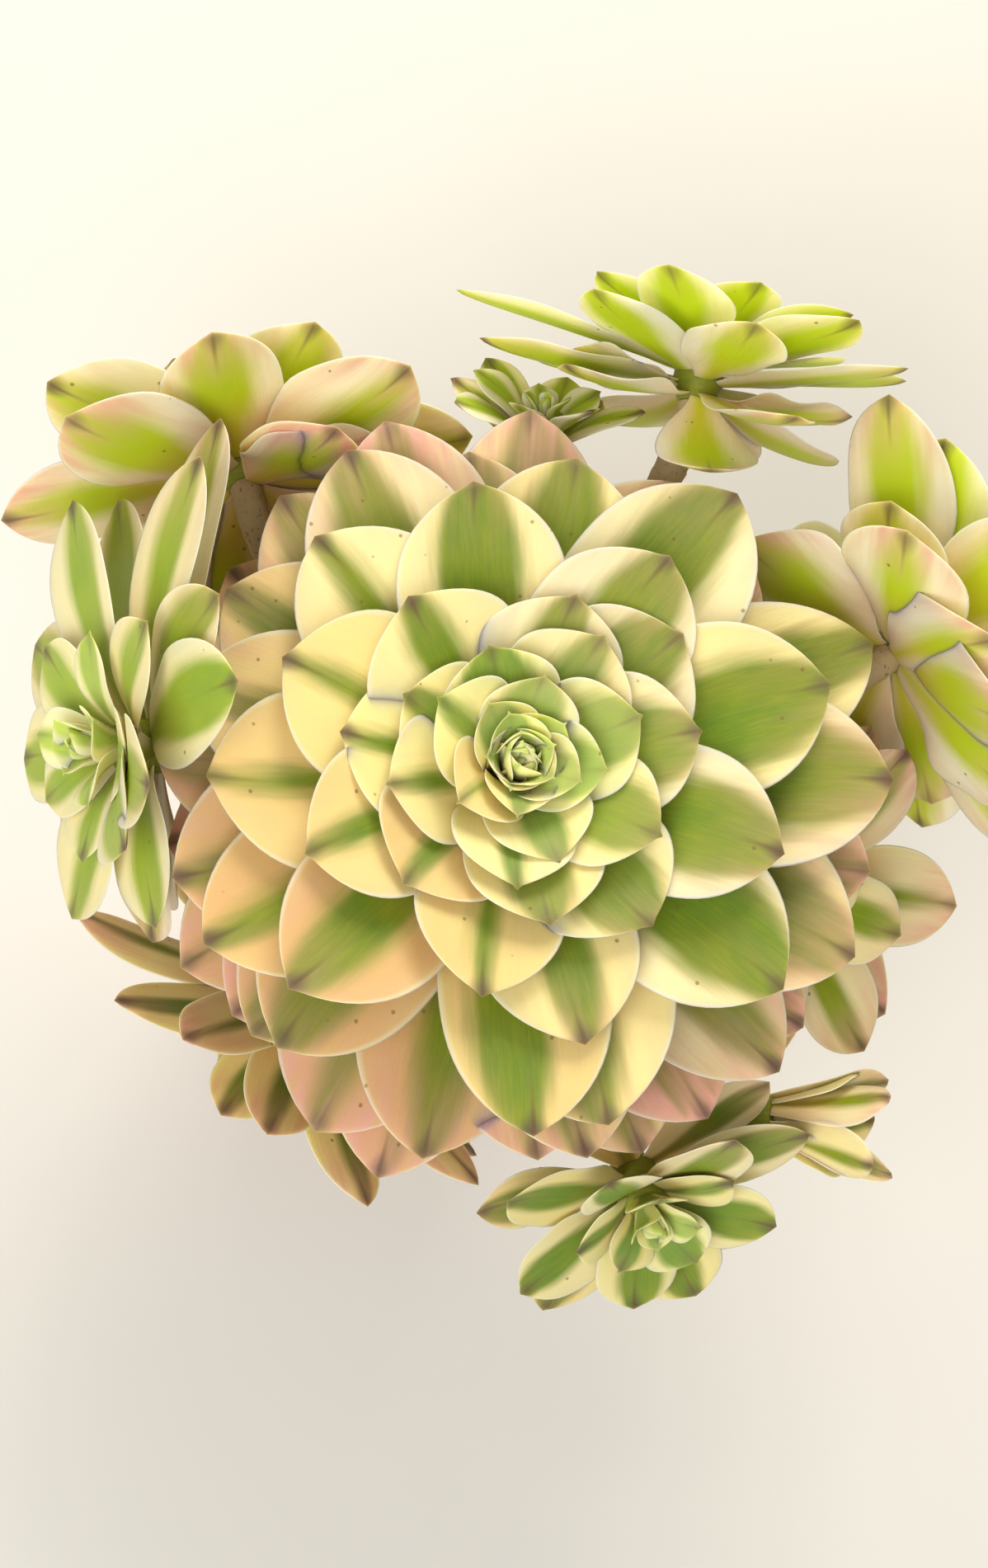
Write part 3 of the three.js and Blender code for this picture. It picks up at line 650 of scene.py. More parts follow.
def scarred_bark():
    """Thin bark of a soft-wooded shrub: dull, pinkish grey-brown, cracked across at each leaf
    scar, its youngest lengths paler and still greenish."""
    material, tree = new_material("scarred_bark")
    place = add_node(tree, "ShaderNodeTexCoord").outputs["Object"]
    young = add_node(tree, "ShaderNodeAttribute", {"attribute_name": "young_wood"})
    # Blotches of 6 mm.
    blotch = add_node(tree, "ShaderNodeTexNoise", {"Scale": 1 / (6.25 * MM), "Detail": 7.0,
                                                   "Roughness": 0.65}, {"Vector": place})
    old = add_node(tree, "ShaderNodeValToRGB", links={"Fac": blotch.outputs["Fac"]})
    old.color_ramp.elements[0].position = 0.32
    old.color_ramp.elements[0].color = linear("#6f5343")
    old.color_ramp.elements[1].position = 0.68
    old.color_ramp.elements[1].color = linear("#b89a84")
    fresh = add_node(tree, "ShaderNodeMix", {"data_type": "RGBA", 6: "#c3a286", 7: "#b9ab74"},
                     {0: blotch.outputs["Fac"]})
    share = add_node(tree, "ShaderNodeMapRange", {"From Min": 0.35},
                     {"Value": young.outputs["Fac"]})
    bark = add_node(tree, "ShaderNodeMix", {"data_type": "RGBA"},
                    {0: share.outputs["Result"], 6: old.outputs["Color"],
                     7: fresh.outputs[2]})
    # Dark flecks of 1 mm where old scales lift.
    fleck = add_node(tree, "ShaderNodeTexNoise", {"Scale": 1 / (1.1 * MM), "Detail": 3.0},
                     {"Vector": place})
    lifted = add_node(tree, "ShaderNodeMapRange", {"From Min": 0.62, "From Max": 0.72,
                                                   "To Max": 0.7},
                      {"Value": fleck.outputs["Fac"]})
    flecked = add_node(tree, "ShaderNodeMix", {"data_type": "RGBA", 7: "#4a352b"},
                       {0: lifted.outputs["Result"], 6: bark.outputs[2]})
    relief = add_node(tree, "ShaderNodeBump", {"Strength": 0.5, "Distance": 0.4 * MM},
                      {"Height": blotch.outputs["Fac"]})
    return shaded(material, {"Roughness": 0.8, "Specular IOR Level": 0.3},
                  {"Base Color": flecked.outputs[2], "Normal": relief.outputs["Normal"]})


add_piece("woody_stems", stems_mesh(), scarred_bark(), "trunk_and_branches")

# ------------------------------------------------------------------ rosettes
# Fleshy spade-shaped leaves grow from a short stem end, each a golden angle on from the last:
# cupped and tight at the heart, flat at full size, drooping when old. Each leaf has a green
# stripe between cream margins, a thin pale rim that is partly a painted edge highlight, and a
# dark purple-brown point.

GOLDEN_ANGLE = 137.508
# Rings of points along a leaf, steps from its midrib to its rim, and its thickness.
MAIN_LEAF = dict(steps=28, half_steps=7, thickness=2.4)
SIDE_LEAF = dict(steps=22, half_steps=6, thickness=1.9)
# Where along a leaf it is broadest, and how narrow it is at its root.
WIDEST = 0.62
NECK = 0.16

# How a rosette opens from its heart (age 0) to its oldest leaves (age 1): where a leaf's tip
# lies, out and up, and half its width, in shares of the rosette's radius; where its middle line
# bends, in shares of its run and rise; and how far its margins are cupped up.
TIP_REACH = np.array([(0, -0.03), (0.07, 0.09), (0.164, 0.25), (0.233, 0.354), (0.301, 0.424),
                      (0.37, 0.511), (0.438, 0.645), (0.507, 0.807), (0.575, 0.904),
                      (0.74, 0.978), (1, 1.03)])
TIP_HEIGHT = np.array([(0, 0.27), (0.07, 0.265), (0.17, 0.24), (0.30, 0.205), (0.44, 0.165),
                       (0.57, 0.075), (0.72, -0.05), (0.84, -0.20), (1, -0.42)])
HALF_WIDTH = np.array([(0, 0.045), (0.07, 0.08), (0.17, 0.12), (0.30, 0.165), (0.44, 0.195),
                       (0.57, 0.212), (1, 0.215)])
BEND_RUN = np.array([(0, 0), (0.05, 0.15), (0.16, 0.25), (0.3, 0.42), (1, 0.42)])
BEND_RISE = np.array([(0, 0.6), (0.05, 0.9), (0.16, 0.9), (0.3, 0.78), (1, 0.75)])
CUP = np.array([(0, 0.45), (0.1, 0.22), (0.25, 0.10), (1, 0.04)])

# How far single leaves stray from that: in degrees round the axis, in shares of their length,
# of the radius (height and sweep) and of their width, in cup, and in degrees of twist.
STRAY_TURN, STRAY_LENGTH, STRAY_HEIGHT, STRAY_WIDTH = 7, 0.07, 0.02, 0.08
STRAY_CUP, STRAY_TWIST, STRAY_SWEEP = 0.05, 10, 0.04

# What a leaf that would cross a neighbour tries in turn: degrees round the axis, share of the
# radius that its tip is raised, and its length.
WAYS_CLEAR = [(0, 0, 1), (9, 0, 1), (-9, 0, 1), (0, 0.14, 1), (0, -0.14, 1),
              (12, 0.14, 0.95), (-12, 0.14, 0.95), (12, -0.14, 0.95), (-12, -0.14, 0.95),
              (0, 0.3, 0.9), (0, -0.3, 0.9), (16, 0.3, 0.8), (-16, 0.3, 0.8),
              (0, 0.15, 0.7), (0, -0.15, 0.7), (0, 0.45, 0.8), (0, -0.45, 0.7)]
# The room it needs. Its own branch counts from a little behind the rosette, and only what is
# near is measured: marks along the trunk and each branch, and points of the other leaves. A
# leaf's points lie on the third to last of fourteen stations along it, eight on each.
LEAF_CLEARANCE = 4.6
BRANCH_END_FREE = 14
NEAR = 15
TRUNK_MARKS, BRANCH_MARKS = 26, 24
TESTED_ALONG, TESTED_FROM, TESTED_ACROSS = 14, 3, 8

# Leaves that the solids leave out: a small one for each nine of a rosette, and old ones that
# hang lower by a share of its radius.
LEAVES_TO_A_SMALL_ONE = 9
UNDER_LOWERED = 0.12


def along(table, x):
    return float(np.interp(x, table[:, 0], table[:, 1]))


def make_leaf(rosette, index, turn, raised, length):
    """A leaf's middle line, as three points of (distance from the axis, height) in the plane
    of its azimuth, with its width, cup, twist, sweep and wrap."""
    radius = rosette["radius"]
    core_radius, core_length = rosette["core_radius"], rosette["core_length"]
    turned, longer, higher, wider, cupped, twisted, swept = (
        draw(rosette["seed"], index, which) for which in range(1, 8))
    age = index / (rosette["leaves"] - 1)
    loose = rosette["looseness"] * min(1, 3 * age)
    azimuth = math.radians(rosette["phase"] + rosette["hand"] * GOLDEN_ANGLE * index
                           + STRAY_TURN * loose * turned
                           + rosette["turned"].get(index, 0) + turn)
    outward = math.cos(azimuth) * rosette["first"] + math.sin(azimuth) * rosette["second"]
    lean = (1 + rosette["lean_x"] * math.cos(azimuth) + rosette["lean_y"] * math.sin(azimuth))
    reach = (radius * along(TIP_REACH, age) * lean * rosette["longer"].get(index, 1) * length
             * (1 + STRAY_LENGTH * loose * longer))
    height = radius * (along(TIP_HEIGHT, age) + rosette["raised"] * age + raised
                       + rosette["lifted"].get(index, 0) + STRAY_HEIGHT * higher)
    # Young leaves start near the axis at the top of the stem end, old ones further out below.
    root = (core_radius * (0.2 + 0.35 * min(1, 2 * age)),
            (0.7 * core_radius - core_length) * age)
    run, rise = reach - root[0], height - root[1]
    bulge = 0.03 * radius * max(0.0, 1 - 8 * age)
    arch = rosette["arch"] * run * min(1.0, 4 * age)
    bend = (root[0] + run * along(BEND_RUN, age) + bulge,
            root[1] + rise * along(BEND_RISE, age) + arch)
    return dict(
        rosette=rosette, index=index, age=age, azimuth=azimuth, outward=outward,
        across=np.cross(rosette["axis"], outward), root=root, bend=bend, tip=(reach, height),
        half=radius * along(HALF_WIDTH, age) * rosette["breadth"] * (1 + STRAY_WIDTH * wider),
        cup=along(CUP, age) + STRAY_CUP * cupped,
        twist=math.radians(STRAY_TWIST) * twisted * age,
        sweep=STRAY_SWEEP * radius * swept * age, wrap=max(0.0, 1 - 4 * age))


def outline(s, age):
    """The share of its half width that a leaf has along it: a narrow neck, wider in a young
    leaf, then broad past the middle, and a rounded end that comes to a blunt point."""
    young = max(0.0, 1 - age / 0.25)
    neck = NECK + 0.5 * young
    q = np.clip((s - WIDEST) / (1 - WIDEST), 0, 1)
    return np.where(s < WIDEST,
                    neck + (1 - neck) * np.sin(np.pi / 2 * np.minimum(s, WIDEST) / WIDEST) ** 1.7,
                    (1 - q ** 2.6) ** (0.7 + 0.5 * young))


def leaf_place(leaf, s, sideways, upward):
    """Points of a leaf: s along its middle line, and how far sideways and up from it."""
    (r0, h0), (r1, h1), (r2, h2) = leaf["root"], leaf["bend"], leaf["tip"]
    q = 1 - s
    slope_r = 2 * q * (r1 - r0) + 2 * s * (r2 - r1)
    slope_h = 2 * q * (h1 - h0) + 2 * s * (h2 - h1)
    slope = np.hypot(slope_r, slope_h)
    turn = leaf["twist"] * s
    aside = sideways * np.cos(turn) - upward * np.sin(turn)
    above = sideways * np.sin(turn) + upward * np.cos(turn)
    rho = q * q * r0 + 2 * q * s * r1 + s * s * r2 - slope_h / slope * above
    high = q * q * h0 + 2 * q * s * h1 + s * s * h2 + slope_r / slope * above
    aside = aside + leaf["sweep"] * s * s
    # A young leaf is wrapped round the heart, no tighter than 6 mm.
    bent = leaf["wrap"] * aside / np.maximum(rho, 6)
    rosette = leaf["rosette"]
    return (rosette["at"] + high[..., None] * rosette["axis"]
            + (rho * np.cos(bent))[..., None] * leaf["outward"]
            + (aside * np.sinc(bent / np.pi))[..., None] * leaf["across"])


def limb_marks():
    """Points along every limb, with the rosette that it belongs to and its radius."""
    trunk = np.zeros((TRUNK_MARKS, 3))
    trunk[:, 2] = np.linspace(SOIL_TOP + 2, ROSETTES[0]["base"][2], TRUNK_MARKS)
    points, owners, radii = [trunk], [0] * TRUNK_MARKS, [TRUNK_RADIUS] * TRUNK_MARKS
    for rosette in ROSETTES[1:]:
        points.append(branch_line(rosette, BRANCH_MARKS))
        owners += [rosette["number"]] * BRANCH_MARKS
        radii += [BRANCH_TIP_RADIUS] * BRANCH_MARKS
    return np.concatenate(points), np.array(owners), np.array(radii, float)


def clear_leaves(rosette, indices, leaf_points, length, lowered):
    """Grows leaves that take the first way that stands clear of the limbs and of the points of
    other rosettes' leaves, as the solids do. A leaf is left out if none does."""
    limb_points, limb_owners, limb_radii = limb_marks()
    own = limb_owners == rosette["number"]
    far = np.linalg.norm(limb_points - rosette["base"], axis=1) > BRANCH_END_FREE
    others = np.concatenate([limb_points[~own | far], leaf_points])
    room = np.concatenate([limb_radii[~own | far], np.zeros(len(leaf_points))])
    room += LEAF_CLEARANCE
    tested = np.arange(TESTED_FROM, TESTED_ALONG + 1) / TESTED_ALONG
    s = np.repeat(tested, TESTED_ACROSS)
    v = np.tile(-1 + 2 * np.arange(TESTED_ACROSS) / (TESTED_ACROSS - 1), len(tested))
    leaves, new_points = [], [np.zeros((0, 3))]
    for index in indices:
        for turn, raised, shorter in WAYS_CLEAR:
            leaf = make_leaf(rosette, index, turn, raised - lowered, shorter * length)
            half = leaf["half"] * outline(s, leaf["age"])
            points = leaf_place(leaf, s, half * v, leaf["cup"] * half * v * v)
            near = np.all((others > points.min(0) - NEAR) & (others < points.max(0) + NEAR),
                          axis=1)
            gaps = np.linalg.norm(points[:, None] - others[near][None], axis=2)
            if np.all(gaps >= room[near][None]):
                leaves.append(leaf)
                new_points.append(points)
                break
    return leaves, np.concatenate(new_points)


def grow_leaves():
    """Grows each rosette in turn, clear of those before it, with small leaves between its
    youngest. When all have grown, their lowest old leaves follow, clear of every other."""
    grown, places = [], []
    for rosette in ROSETTES:
        leaves, points = clear_leaves(rosette, range(rosette["leaves"]),
                                      np.concatenate([np.zeros((0, 3)), *places]), 1, 0)
        leaves += [make_leaf(rosette, i + 0.5, 0, 0, 1)
                   for i in range(rosette["leaves"] // LEAVES_TO_A_SMALL_ONE)]
        grown.append(leaves)
        places.append(points)
    for rosette, leaves in zip(ROSETTES, grown):
        number = rosette["number"]
        oldest = range(rosette["leaves"], rosette["leaves"] + rosette["under"])
        more, points = clear_leaves(rosette, oldest,
                                    np.concatenate(places[:number] + places[number + 1:]),
                                    rosette["under_length"], UNDER_LOWERED)
        leaves += more
        places[number] = np.concatenate([places[number], points])
    return grown


# The fine form of a leaf, over the plain one: a fold along the midrib, waved margins, a point
# that is drawn out, and a rim that is rounded and thinner than the rib.
TIP_CROWDING = 1.35
MIDRIB_FOLD = 0.07
RIM_THICKNESS = 0.38
MARGIN_WAVE = 0.35
OLD_MARGIN_WAVE = 0.9
WAVED_HALF_WIDTH = 18
POINT_RADIUS = 0.45
POINT_DRAWN_OUT = 0.64


def leaf_blade(leaf, steps, half_steps, thickness):
    """Both faces of a leaf as closed rings of points from root to tip, with its faces and what
    is marked on each point: its place on the leaf (across and along, from 0 to 1), how it lies
    (mm from the midrib, mm from the tip, and a number that sets the leaf apart), and how far
    it is from the midrib as the stripe's edges run."""
    rosette, index, age = leaf["rosette"], leaf["index"], leaf["age"]
    seed = rosette["seed"]
    root, bend, tip = leaf["root"], leaf["bend"], leaf["tip"]
    length = 0.5 * (math.dist(root, bend) + math.dist(bend, tip) + math.dist(root, tip))
    # Stations crowd towards the tip, and points across towards the rims.
    s = 1 - (1 - np.linspace(0, 1, steps)) ** TIP_CROWDING
    upper = np.sin(np.pi / 2 * np.linspace(-1, 1, 2 * half_steps + 1))
    v = np.concatenate([upper, upper[-2:0:-1]])
    face = np.concatenate([np.ones(len(upper)), -np.ones(len(upper) - 2)])
    v, s = np.meshgrid(v, s)
    # The younger a leaf, the sharper its end.
    end = np.clip((s - WIDEST) / (1 - WIDEST), 0, 1)
    sharper = (1 - end ** 2.6) ** (0.28 * max(0.0, min(1.0, 1.6 - 2.6 * age)))
    half = np.maximum(leaf["half"] * outline(s, age) * sharper,
                      POINT_RADIUS * (1 - 0.9 * (s > 0.999)))
    # The rib thickens from the root and thins to the tip.
    rib = thickness / 2 * (0.5 + 0.5 * min(1.0, 3 * age))
    rib = np.minimum(rib * (0.5 + 0.5 * np.minimum(1, 2 * s)) * (1 - 0.45 * s * s), 0.8 * half)
    blade = rib * (RIM_THICKNESS + (1 - RIM_THICKNESS) * (1 - v * v)) \
        * np.sqrt(np.maximum(0, 1 - v ** 8))
    fold = MIDRIB_FOLD * (np.sqrt(v * v + 0.02) - 0.45) * half * np.minimum(1, 4 * s)
    # Each margin waves once or twice in its own time, more so in an old leaf.
    phase = 3 * draw(seed, index, 11) + np.where(v > 0, 1.9, 0.0)
    waves = 1.6 + 0.7 * draw(seed, index, 12)
    wave = (MARGIN_WAVE + OLD_MARGIN_WAVE * age * age) * leaf["half"] / WAVED_HALF_WIDTH \
        * np.abs(v) ** 3 * np.sin(2 * np.pi * waves * s + phase) \
        * np.minimum(1, 3 * s) * (1 - s ** 6)
    # The tip leans to one side and lifts.
    skew = 0.10 * draw(seed, index, 13) * leaf["half"] * s ** 8
    lift = (0.5 + 0.8 * age) * s ** 14
    upward = leaf["cup"] * half * v * v + fold + wave + face * blade + lift
    points = leaf_place(leaf, s, half * v + skew, upward)
    points[-1] += leaf["outward"] * POINT_DRAWN_OUT

    count = v.shape[1]
    faces = tube_faces(steps, count, closed=False)
    for start, turned in ((0, True), ((steps - 1) * count, False)):
        for j in range(2 * half_steps):
            cap = [start + j, start + j + 1, start + (count - j - 1) % count,
                   start + (count - j) % count]
            cap = list(dict.fromkeys(cap))
            faces.append(tuple(reversed(cap)) if turned else tuple(cap))
    # Past its broadest place a stripe narrows less than the leaf does.
    spread = outline(s, age)
    spread = leaf["half"] * (0.35 + 0.65 * np.where(s < WIDEST, spread, 0.4 + 0.6 * spread))
    apart = np.full(v.size, 40.0 * index + 7 * rosette["number"])
    return points.reshape(-1, 3), faces, {
        "leaf": np.c_[(v * 0.5 + 0.5).ravel(), s.ravel()],
        "lie": np.c_[(half * v).ravel(), ((1 - s) * length).ravel(), apart],
        "off_midrib": (half * v / spread).reshape(-1, 1)}


# Stripes of the large rosette that the photo shows well: half of the stripe's width and how
# far it lies to one side, as shares of the leaf's half width.
MAIN_STRIPES = {
    7: (0.6, 0), 8: (0.3, 0), 9: (0.6, 0), 10: (0.7, 0), 11: (0.1, 0), 12: (0.6, 0),
    13: (0.4, 0), 14: (0.25, 0), 15: (0.6, 0), 16: (0.2, 0), 17: (0.7, 0), 18: (0.7, 0),
    19: (0.15, 0), 20: (0.35, 0), 21: (0.45, 0), 22: (0.3, 0), 23: (0.62, -0.1), 24: (0.15, 0),
    25: (0.4, 0), 26: (0.6, 0), 27: (0.15, 0), 28: (0.5, 0.1), 29: (0.15, 0), 30: (0.3, 0),
    31: (0.75, 0), 32: (0.18, 0), 33: (0.5, -0.1), 34: (0.33, 0.1), 35: (0.12, 0),
    36: (0.62, -0.1), 37: (0.4, 0), 38: (0.5, 0), 39: (0.65, 0.1), 40: (0.12, 0),
    41: (0.5, 0.1), 42: (0.42, -0.2), 43: (0.2, 0), 44: (0.6, 0), 45: (0.22, 0), 46: (0.45, 0),
    47: (0.35, -0.1), 49: (0.5, 0), 50: (0.45, 0), 52: (0.6, 0), 58: (0.45, 0)}
# Its soft edges widen a stripe as well, so none is drawn wider than this.
NARROWEST_STRIPE, WIDEST_STRIPE = 0.05, 0.58
# The sides of the large rosette, as azimuths, on which its leaves have wide stripes and on
# which they are yellow.
WIDE_STRIPES = math.radians(25)
YELLOW_LEAVES = math.radians(215)


def leaf_look(leaf):
    """What sets one leaf's colours apart: its stripe (half width, side, how mint, how much
    painted backlight lightens it as if light shone through), and its tint (how yellow, how
    flushed, how dark its point, how fresh, which in the heart is partly painted light that lifts
    its shade)."""
    rosette, index, age = leaf["rosette"], leaf["index"], leaf["age"]
    wider, aside, yellower, redder, darker = (
        draw(rosette["seed"], index, which) for which in range(21, 26))
    towards_yellow = math.cos(leaf["azimuth"] - YELLOW_LEAVES)
    width = rosette["stripe"] + 0.14 * wider
    side = 0.14 * aside
    yellow = 0.35 + 0.2 * yellower
    if rosette["number"] == 0:
        width += 0.22 * math.cos(leaf["azimuth"] - WIDE_STRIPES)
        yellow += 0.15 * towards_yellow + 0.75 * age * max(0.0, towards_yellow)
        width, side = MAIN_STRIPES.get(index, (width, side))
    mint = rosette["mint"] * (1 - age) + 0.5 * max(0.0, 1 - 4 * age)
    # The oldest third flushes most. The point darkens as the leaf opens.
    flush = (rosette["flush"] * (0.15 + 0.85 * age) + 0.15 * redder
             + 1.2 * max(0.0, min(1.0, age) - 0.66))
    dark = (0.75 + 0.25 * darker) * min(1, 2.5 * age)
    # Young leaves are paler. The youngest, in the heart, are painted paler still: painted light
    # that lifts the heart's shade.
    fresh = max(1 - age / 0.12, max(0.0, 1 - age / 0.4) * (0.65 - 0.35 * towards_yellow))
    width = max(NARROWEST_STRIPE, min(WIDEST_STRIPE, width))
    # The stripe's fourth share is how much backlight is painted in.
    return (np.clip([width, 0.5 + 0.5 * side, mint, rosette["painted_backlight"]], 0, 1),
            np.clip([yellow, flush, dark, fresh], 0, 1))


STEM_END_SIDES = 24


def stem_end(rosette):
    """The short fleshy stem end that the leaves stand on, domed at its top, with its faces and
    its marks."""
    radius, length = rosette["core_radius"], rosette["core_length"]
    profile = [(radius, 0), (1.4 * radius, 0.35 * length), (1.3 * radius, 1.05 * length)]
    profile += [(1.3 * radius * math.cos(a), 1.05 * length + 0.55 * radius * math.sin(a))
                for a in (0.3, 0.6, 0.9, 1.2, 1.45)]
    points = []
    for r, height in profile:
        for j in range(STEM_END_SIDES):
            angle = 2 * math.pi * j / STEM_END_SIDES
            points.append(rosette["base"] + rosette["axis"] * height
                          + r * (math.cos(angle) * rosette["first"]
                                 + math.sin(angle) * rosette["second"]))
    points = np.array(points)
    # The heart of the large one shows: fresh and pale, partly painted light that lifts the
    # heart's shade. The others are seen from below, where they are woodier.
    fresh = 1.0 if rosette["number"] == 0 else 0.1
    return points, tube_faces(len(profile), STEM_END_SIDES), {
        "leaf": np.tile([0.5, 0.2], (len(points), 1)),
        "lie": np.c_[points[:, 0], 60 + points[:, 2], points[:, 1]],
        "off_midrib": np.zeros((len(points), 1)),
        "stripe": np.tile([0.6, 0.5, 0.1, 0.0], (len(points), 1)),
        "tint": np.tile([0.6, 0.2, 0.0, fresh], (len(points), 1))}


def rosette_mesh(rosette, leaves, steps, half_steps, thickness):
    parts = []
    for leaf in leaves:
        points, faces, marks = leaf_blade(leaf, steps, half_steps, thickness)
        for name, value in zip(("stripe", "tint"), leaf_look(leaf)):
            marks[name] = np.tile(value, (len(points), 1))
        parts.append((points, faces, marks))
    return joined_mesh(rosette["name"], parts + [stem_end(rosette)])


def fleshy_leaf():
    """A water-filled leaf with a waxy skin: satin, its flesh lit through. The green is a stripe
    of soft streaks; without green the flesh is cream to yellow, and sun flushes it pink."""
    material, tree = new_material("fleshy_leaf")
    # What is marked on each point of a leaf.
    stripe, tint, lie, off_midrib = (
        add_node(tree, "ShaderNodeAttribute", {"attribute_name": name})
        for name in ("stripe", "tint", "lie", "off_midrib"))
    split = add_node(tree, "ShaderNodeSeparateColor", links={"Color": stripe.outputs["Color"]})
    stripe_width, stripe_side, mintness = split.outputs[:3]
    # Its alpha: how much backlight is painted in, lightening the colours as if light shone
    # through the leaf.
    painted_backlight = stripe.outputs["Alpha"]
    split = add_node(tree, "ShaderNodeSeparateColor", links={"Color": tint.outputs["Color"]})
    yellow, flush, darkness = split.outputs[:3]
    # Its alpha: how fresh. This is partly the real paleness of young leaves and partly painted
    # light in the shaded heart.
    fresh = tint.outputs["Alpha"]
    lie = lie.outputs["Vector"]
    split = add_node(tree, "ShaderNodeSeparateXYZ", links={"Vector": lie})
    from_tip = split.outputs["Y"]
    aside = add_node(tree, "ShaderNodeMath", {"operation": "ABSOLUTE"},
                     {0: split.outputs["X"]}).outputs[0]
    place = add_node(tree, "ShaderNodeUVMap", {"uv_map": "leaf"})
    split = add_node(tree, "ShaderNodeSeparateXYZ", links={"Vector": place.outputs["UV"]})
    along_leaf = split.outputs["Y"]
    across = add_node(tree, "ShaderNodeMath", {"operation": "MULTIPLY_ADD", 1: 2, 2: -1},
                      {0: split.outputs["X"]})
    rimward = add_node(tree, "ShaderNodeMath", {"operation": "ABSOLUTE"},
                       {0: across.outputs[0]}).outputs[0]

    # Patterns, by how many mm they are wide and long: broad streaks, fine ones, patches, and
    # the grain of the skin, which is drawn coarser than the real one so that it shows.
    noises = []
    for wide, long, detail in ((4.55, 33.3, 2.0), (0.77, 9.1, 3.0), (16.7, 22.2, 2.0),
                               (0.385, 0.385, 2.0)):
        scaled = add_node(tree, "ShaderNodeVectorMath",
                          {"operation": "MULTIPLY", 1: (1 / wide, 1 / long, 1)}, {0: lie})
        noise = add_node(tree, "ShaderNodeTexNoise", {"Scale": 1.0, "Detail": detail},
                         {"Vector": scaled.outputs[0]})
        noises.append(noise.outputs["Fac"])
    broad, fine, patch, grain = noises
    # Corky specks, 0.32 to 0.68 mm in radius, one to each 9.1 mm.
    apart = 9.1
    scaled = add_node(tree, "ShaderNodeVectorMath",
                      {"operation": "MULTIPLY", 1: (1 / apart, 1 / apart, 1)}, {0: lie})
    specks = add_node(tree, "ShaderNodeTexVoronoi", {"Scale": 1.0}, {"Vector": scaled.outputs[0]})
    # The dark point frays by 2 mm either way.
    frayed = add_node(tree, "ShaderNodeMath", {"operation": "MULTIPLY_ADD", 1: 4, 2: -2},
                      {0: broad})
    frayed = add_node(tree, "ShaderNodeMath", {"operation": "ADD"},
                      {0: aside, 1: frayed.outputs[0]})
    from_point = add_node(tree, "ShaderNodeMath", {"operation": "MULTIPLY_ADD", 1: 0.75},
                          {0: from_tip, 2: frayed.outputs[0]}).outputs[0]

    # Soft steps, by name: what each follows, and from where to where it goes from one value to
    # the other.
    steps = {}
    for name, follows, low, high, start, end in (
            ("stripe_at_tip", along_leaf, 0.78, 1.0, 1.0, 0.8),
            ("stripe_at_root", along_leaf, 0.2, 0.75, 0.55, 1.08),
            ("shade", patch, 0.35, 0.65, 0.0, 1.0),
            ("streak", fine, 0.35, 0.75, 0.0, 0.2),
            ("buttery", yellow, 0.0, 0.5, 0.0, 1.0),
            ("golden", yellow, 0.5, 1.0, 0.0, 1.0),
            ("patchy", patch, 0.4, 0.7, 0.0, 0.3),
            ("flush_at_rim", rimward, 0.25, 1.0, 0.0, 0.55),
            ("flush_at_tip", along_leaf, 0.6, 1.0, 0.0, 0.75),
            ("flush_uneven", broad, 0.25, 0.7, 0.5, 1.3),
            ("orange_at_root", along_leaf, 0.25, 0.75, 0.6, 0.0),
            # The pale rim: a real pale margin, partly a painted edge highlight.
            ("rim", rimward, 0.9, 0.99, 0.0, 0.45),
            ("point", from_point, 0.5, 6.0, 0.88, 0.0),
            ("line_across", aside, 0.2, 0.8, 0.4, 0.0),
            ("line_along", from_tip, 4.0, 15.0, 1.0, 0.0),
            ("speck", specks.outputs["Distance"], 0.32 / apart, 0.68 / apart, 0.7, 0.0)):
        steps[name] = add_node(tree, "ShaderNodeMapRange",
                               {"interpolation_type": "SMOOTHSTEP", "From Min": low,
                                "From Max": high, "To Min": start, "To Max": end},
                               {"Value": follows}).outputs["Result"]
    # Products and sums of two, by name.
    for name, operation, first, second in (
            ("stripe_taper", "MULTIPLY", steps["stripe_at_tip"], steps["stripe_at_root"]),
            ("flush_place", "ADD", steps["flush_at_rim"], steps["flush_at_tip"]),
            ("orange", "MULTIPLY", steps["orange_at_root"], flush),
            ("dark_point", "MULTIPLY", steps["point"], darkness),
            ("line_place", "MULTIPLY", steps["line_across"], steps["line_along"])):
        steps[name] = add_node(tree, "ShaderNodeMath", {"operation": operation},
                               {0: first, 1: second}).outputs[0]
    flushed = add_node(tree, "ShaderNodeMath", {"operation": "MULTIPLY"},
                       {0: flush, 1: steps["flush_place"]})
    flushed = add_node(tree, "ShaderNodeMath", {"operation": "MULTIPLY", "use_clamp": True},
                       {0: flushed.outputs[0], 1: steps["flush_uneven"]}).outputs[0]
    dark_line = add_node(tree, "ShaderNodeMath", {"operation": "MULTIPLY"},
                         {0: steps["line_place"], 1: darkness}).outputs[0]
    # Squared, it lightens the greens of the youngest leaves most: real paleness, and painted
    # light in the shaded heart.
    young_pale_and_painted_light = add_node(tree, "ShaderNodeMath", {"operation": "POWER", 1: 2.0},
                          {0: fresh}).outputs[0]

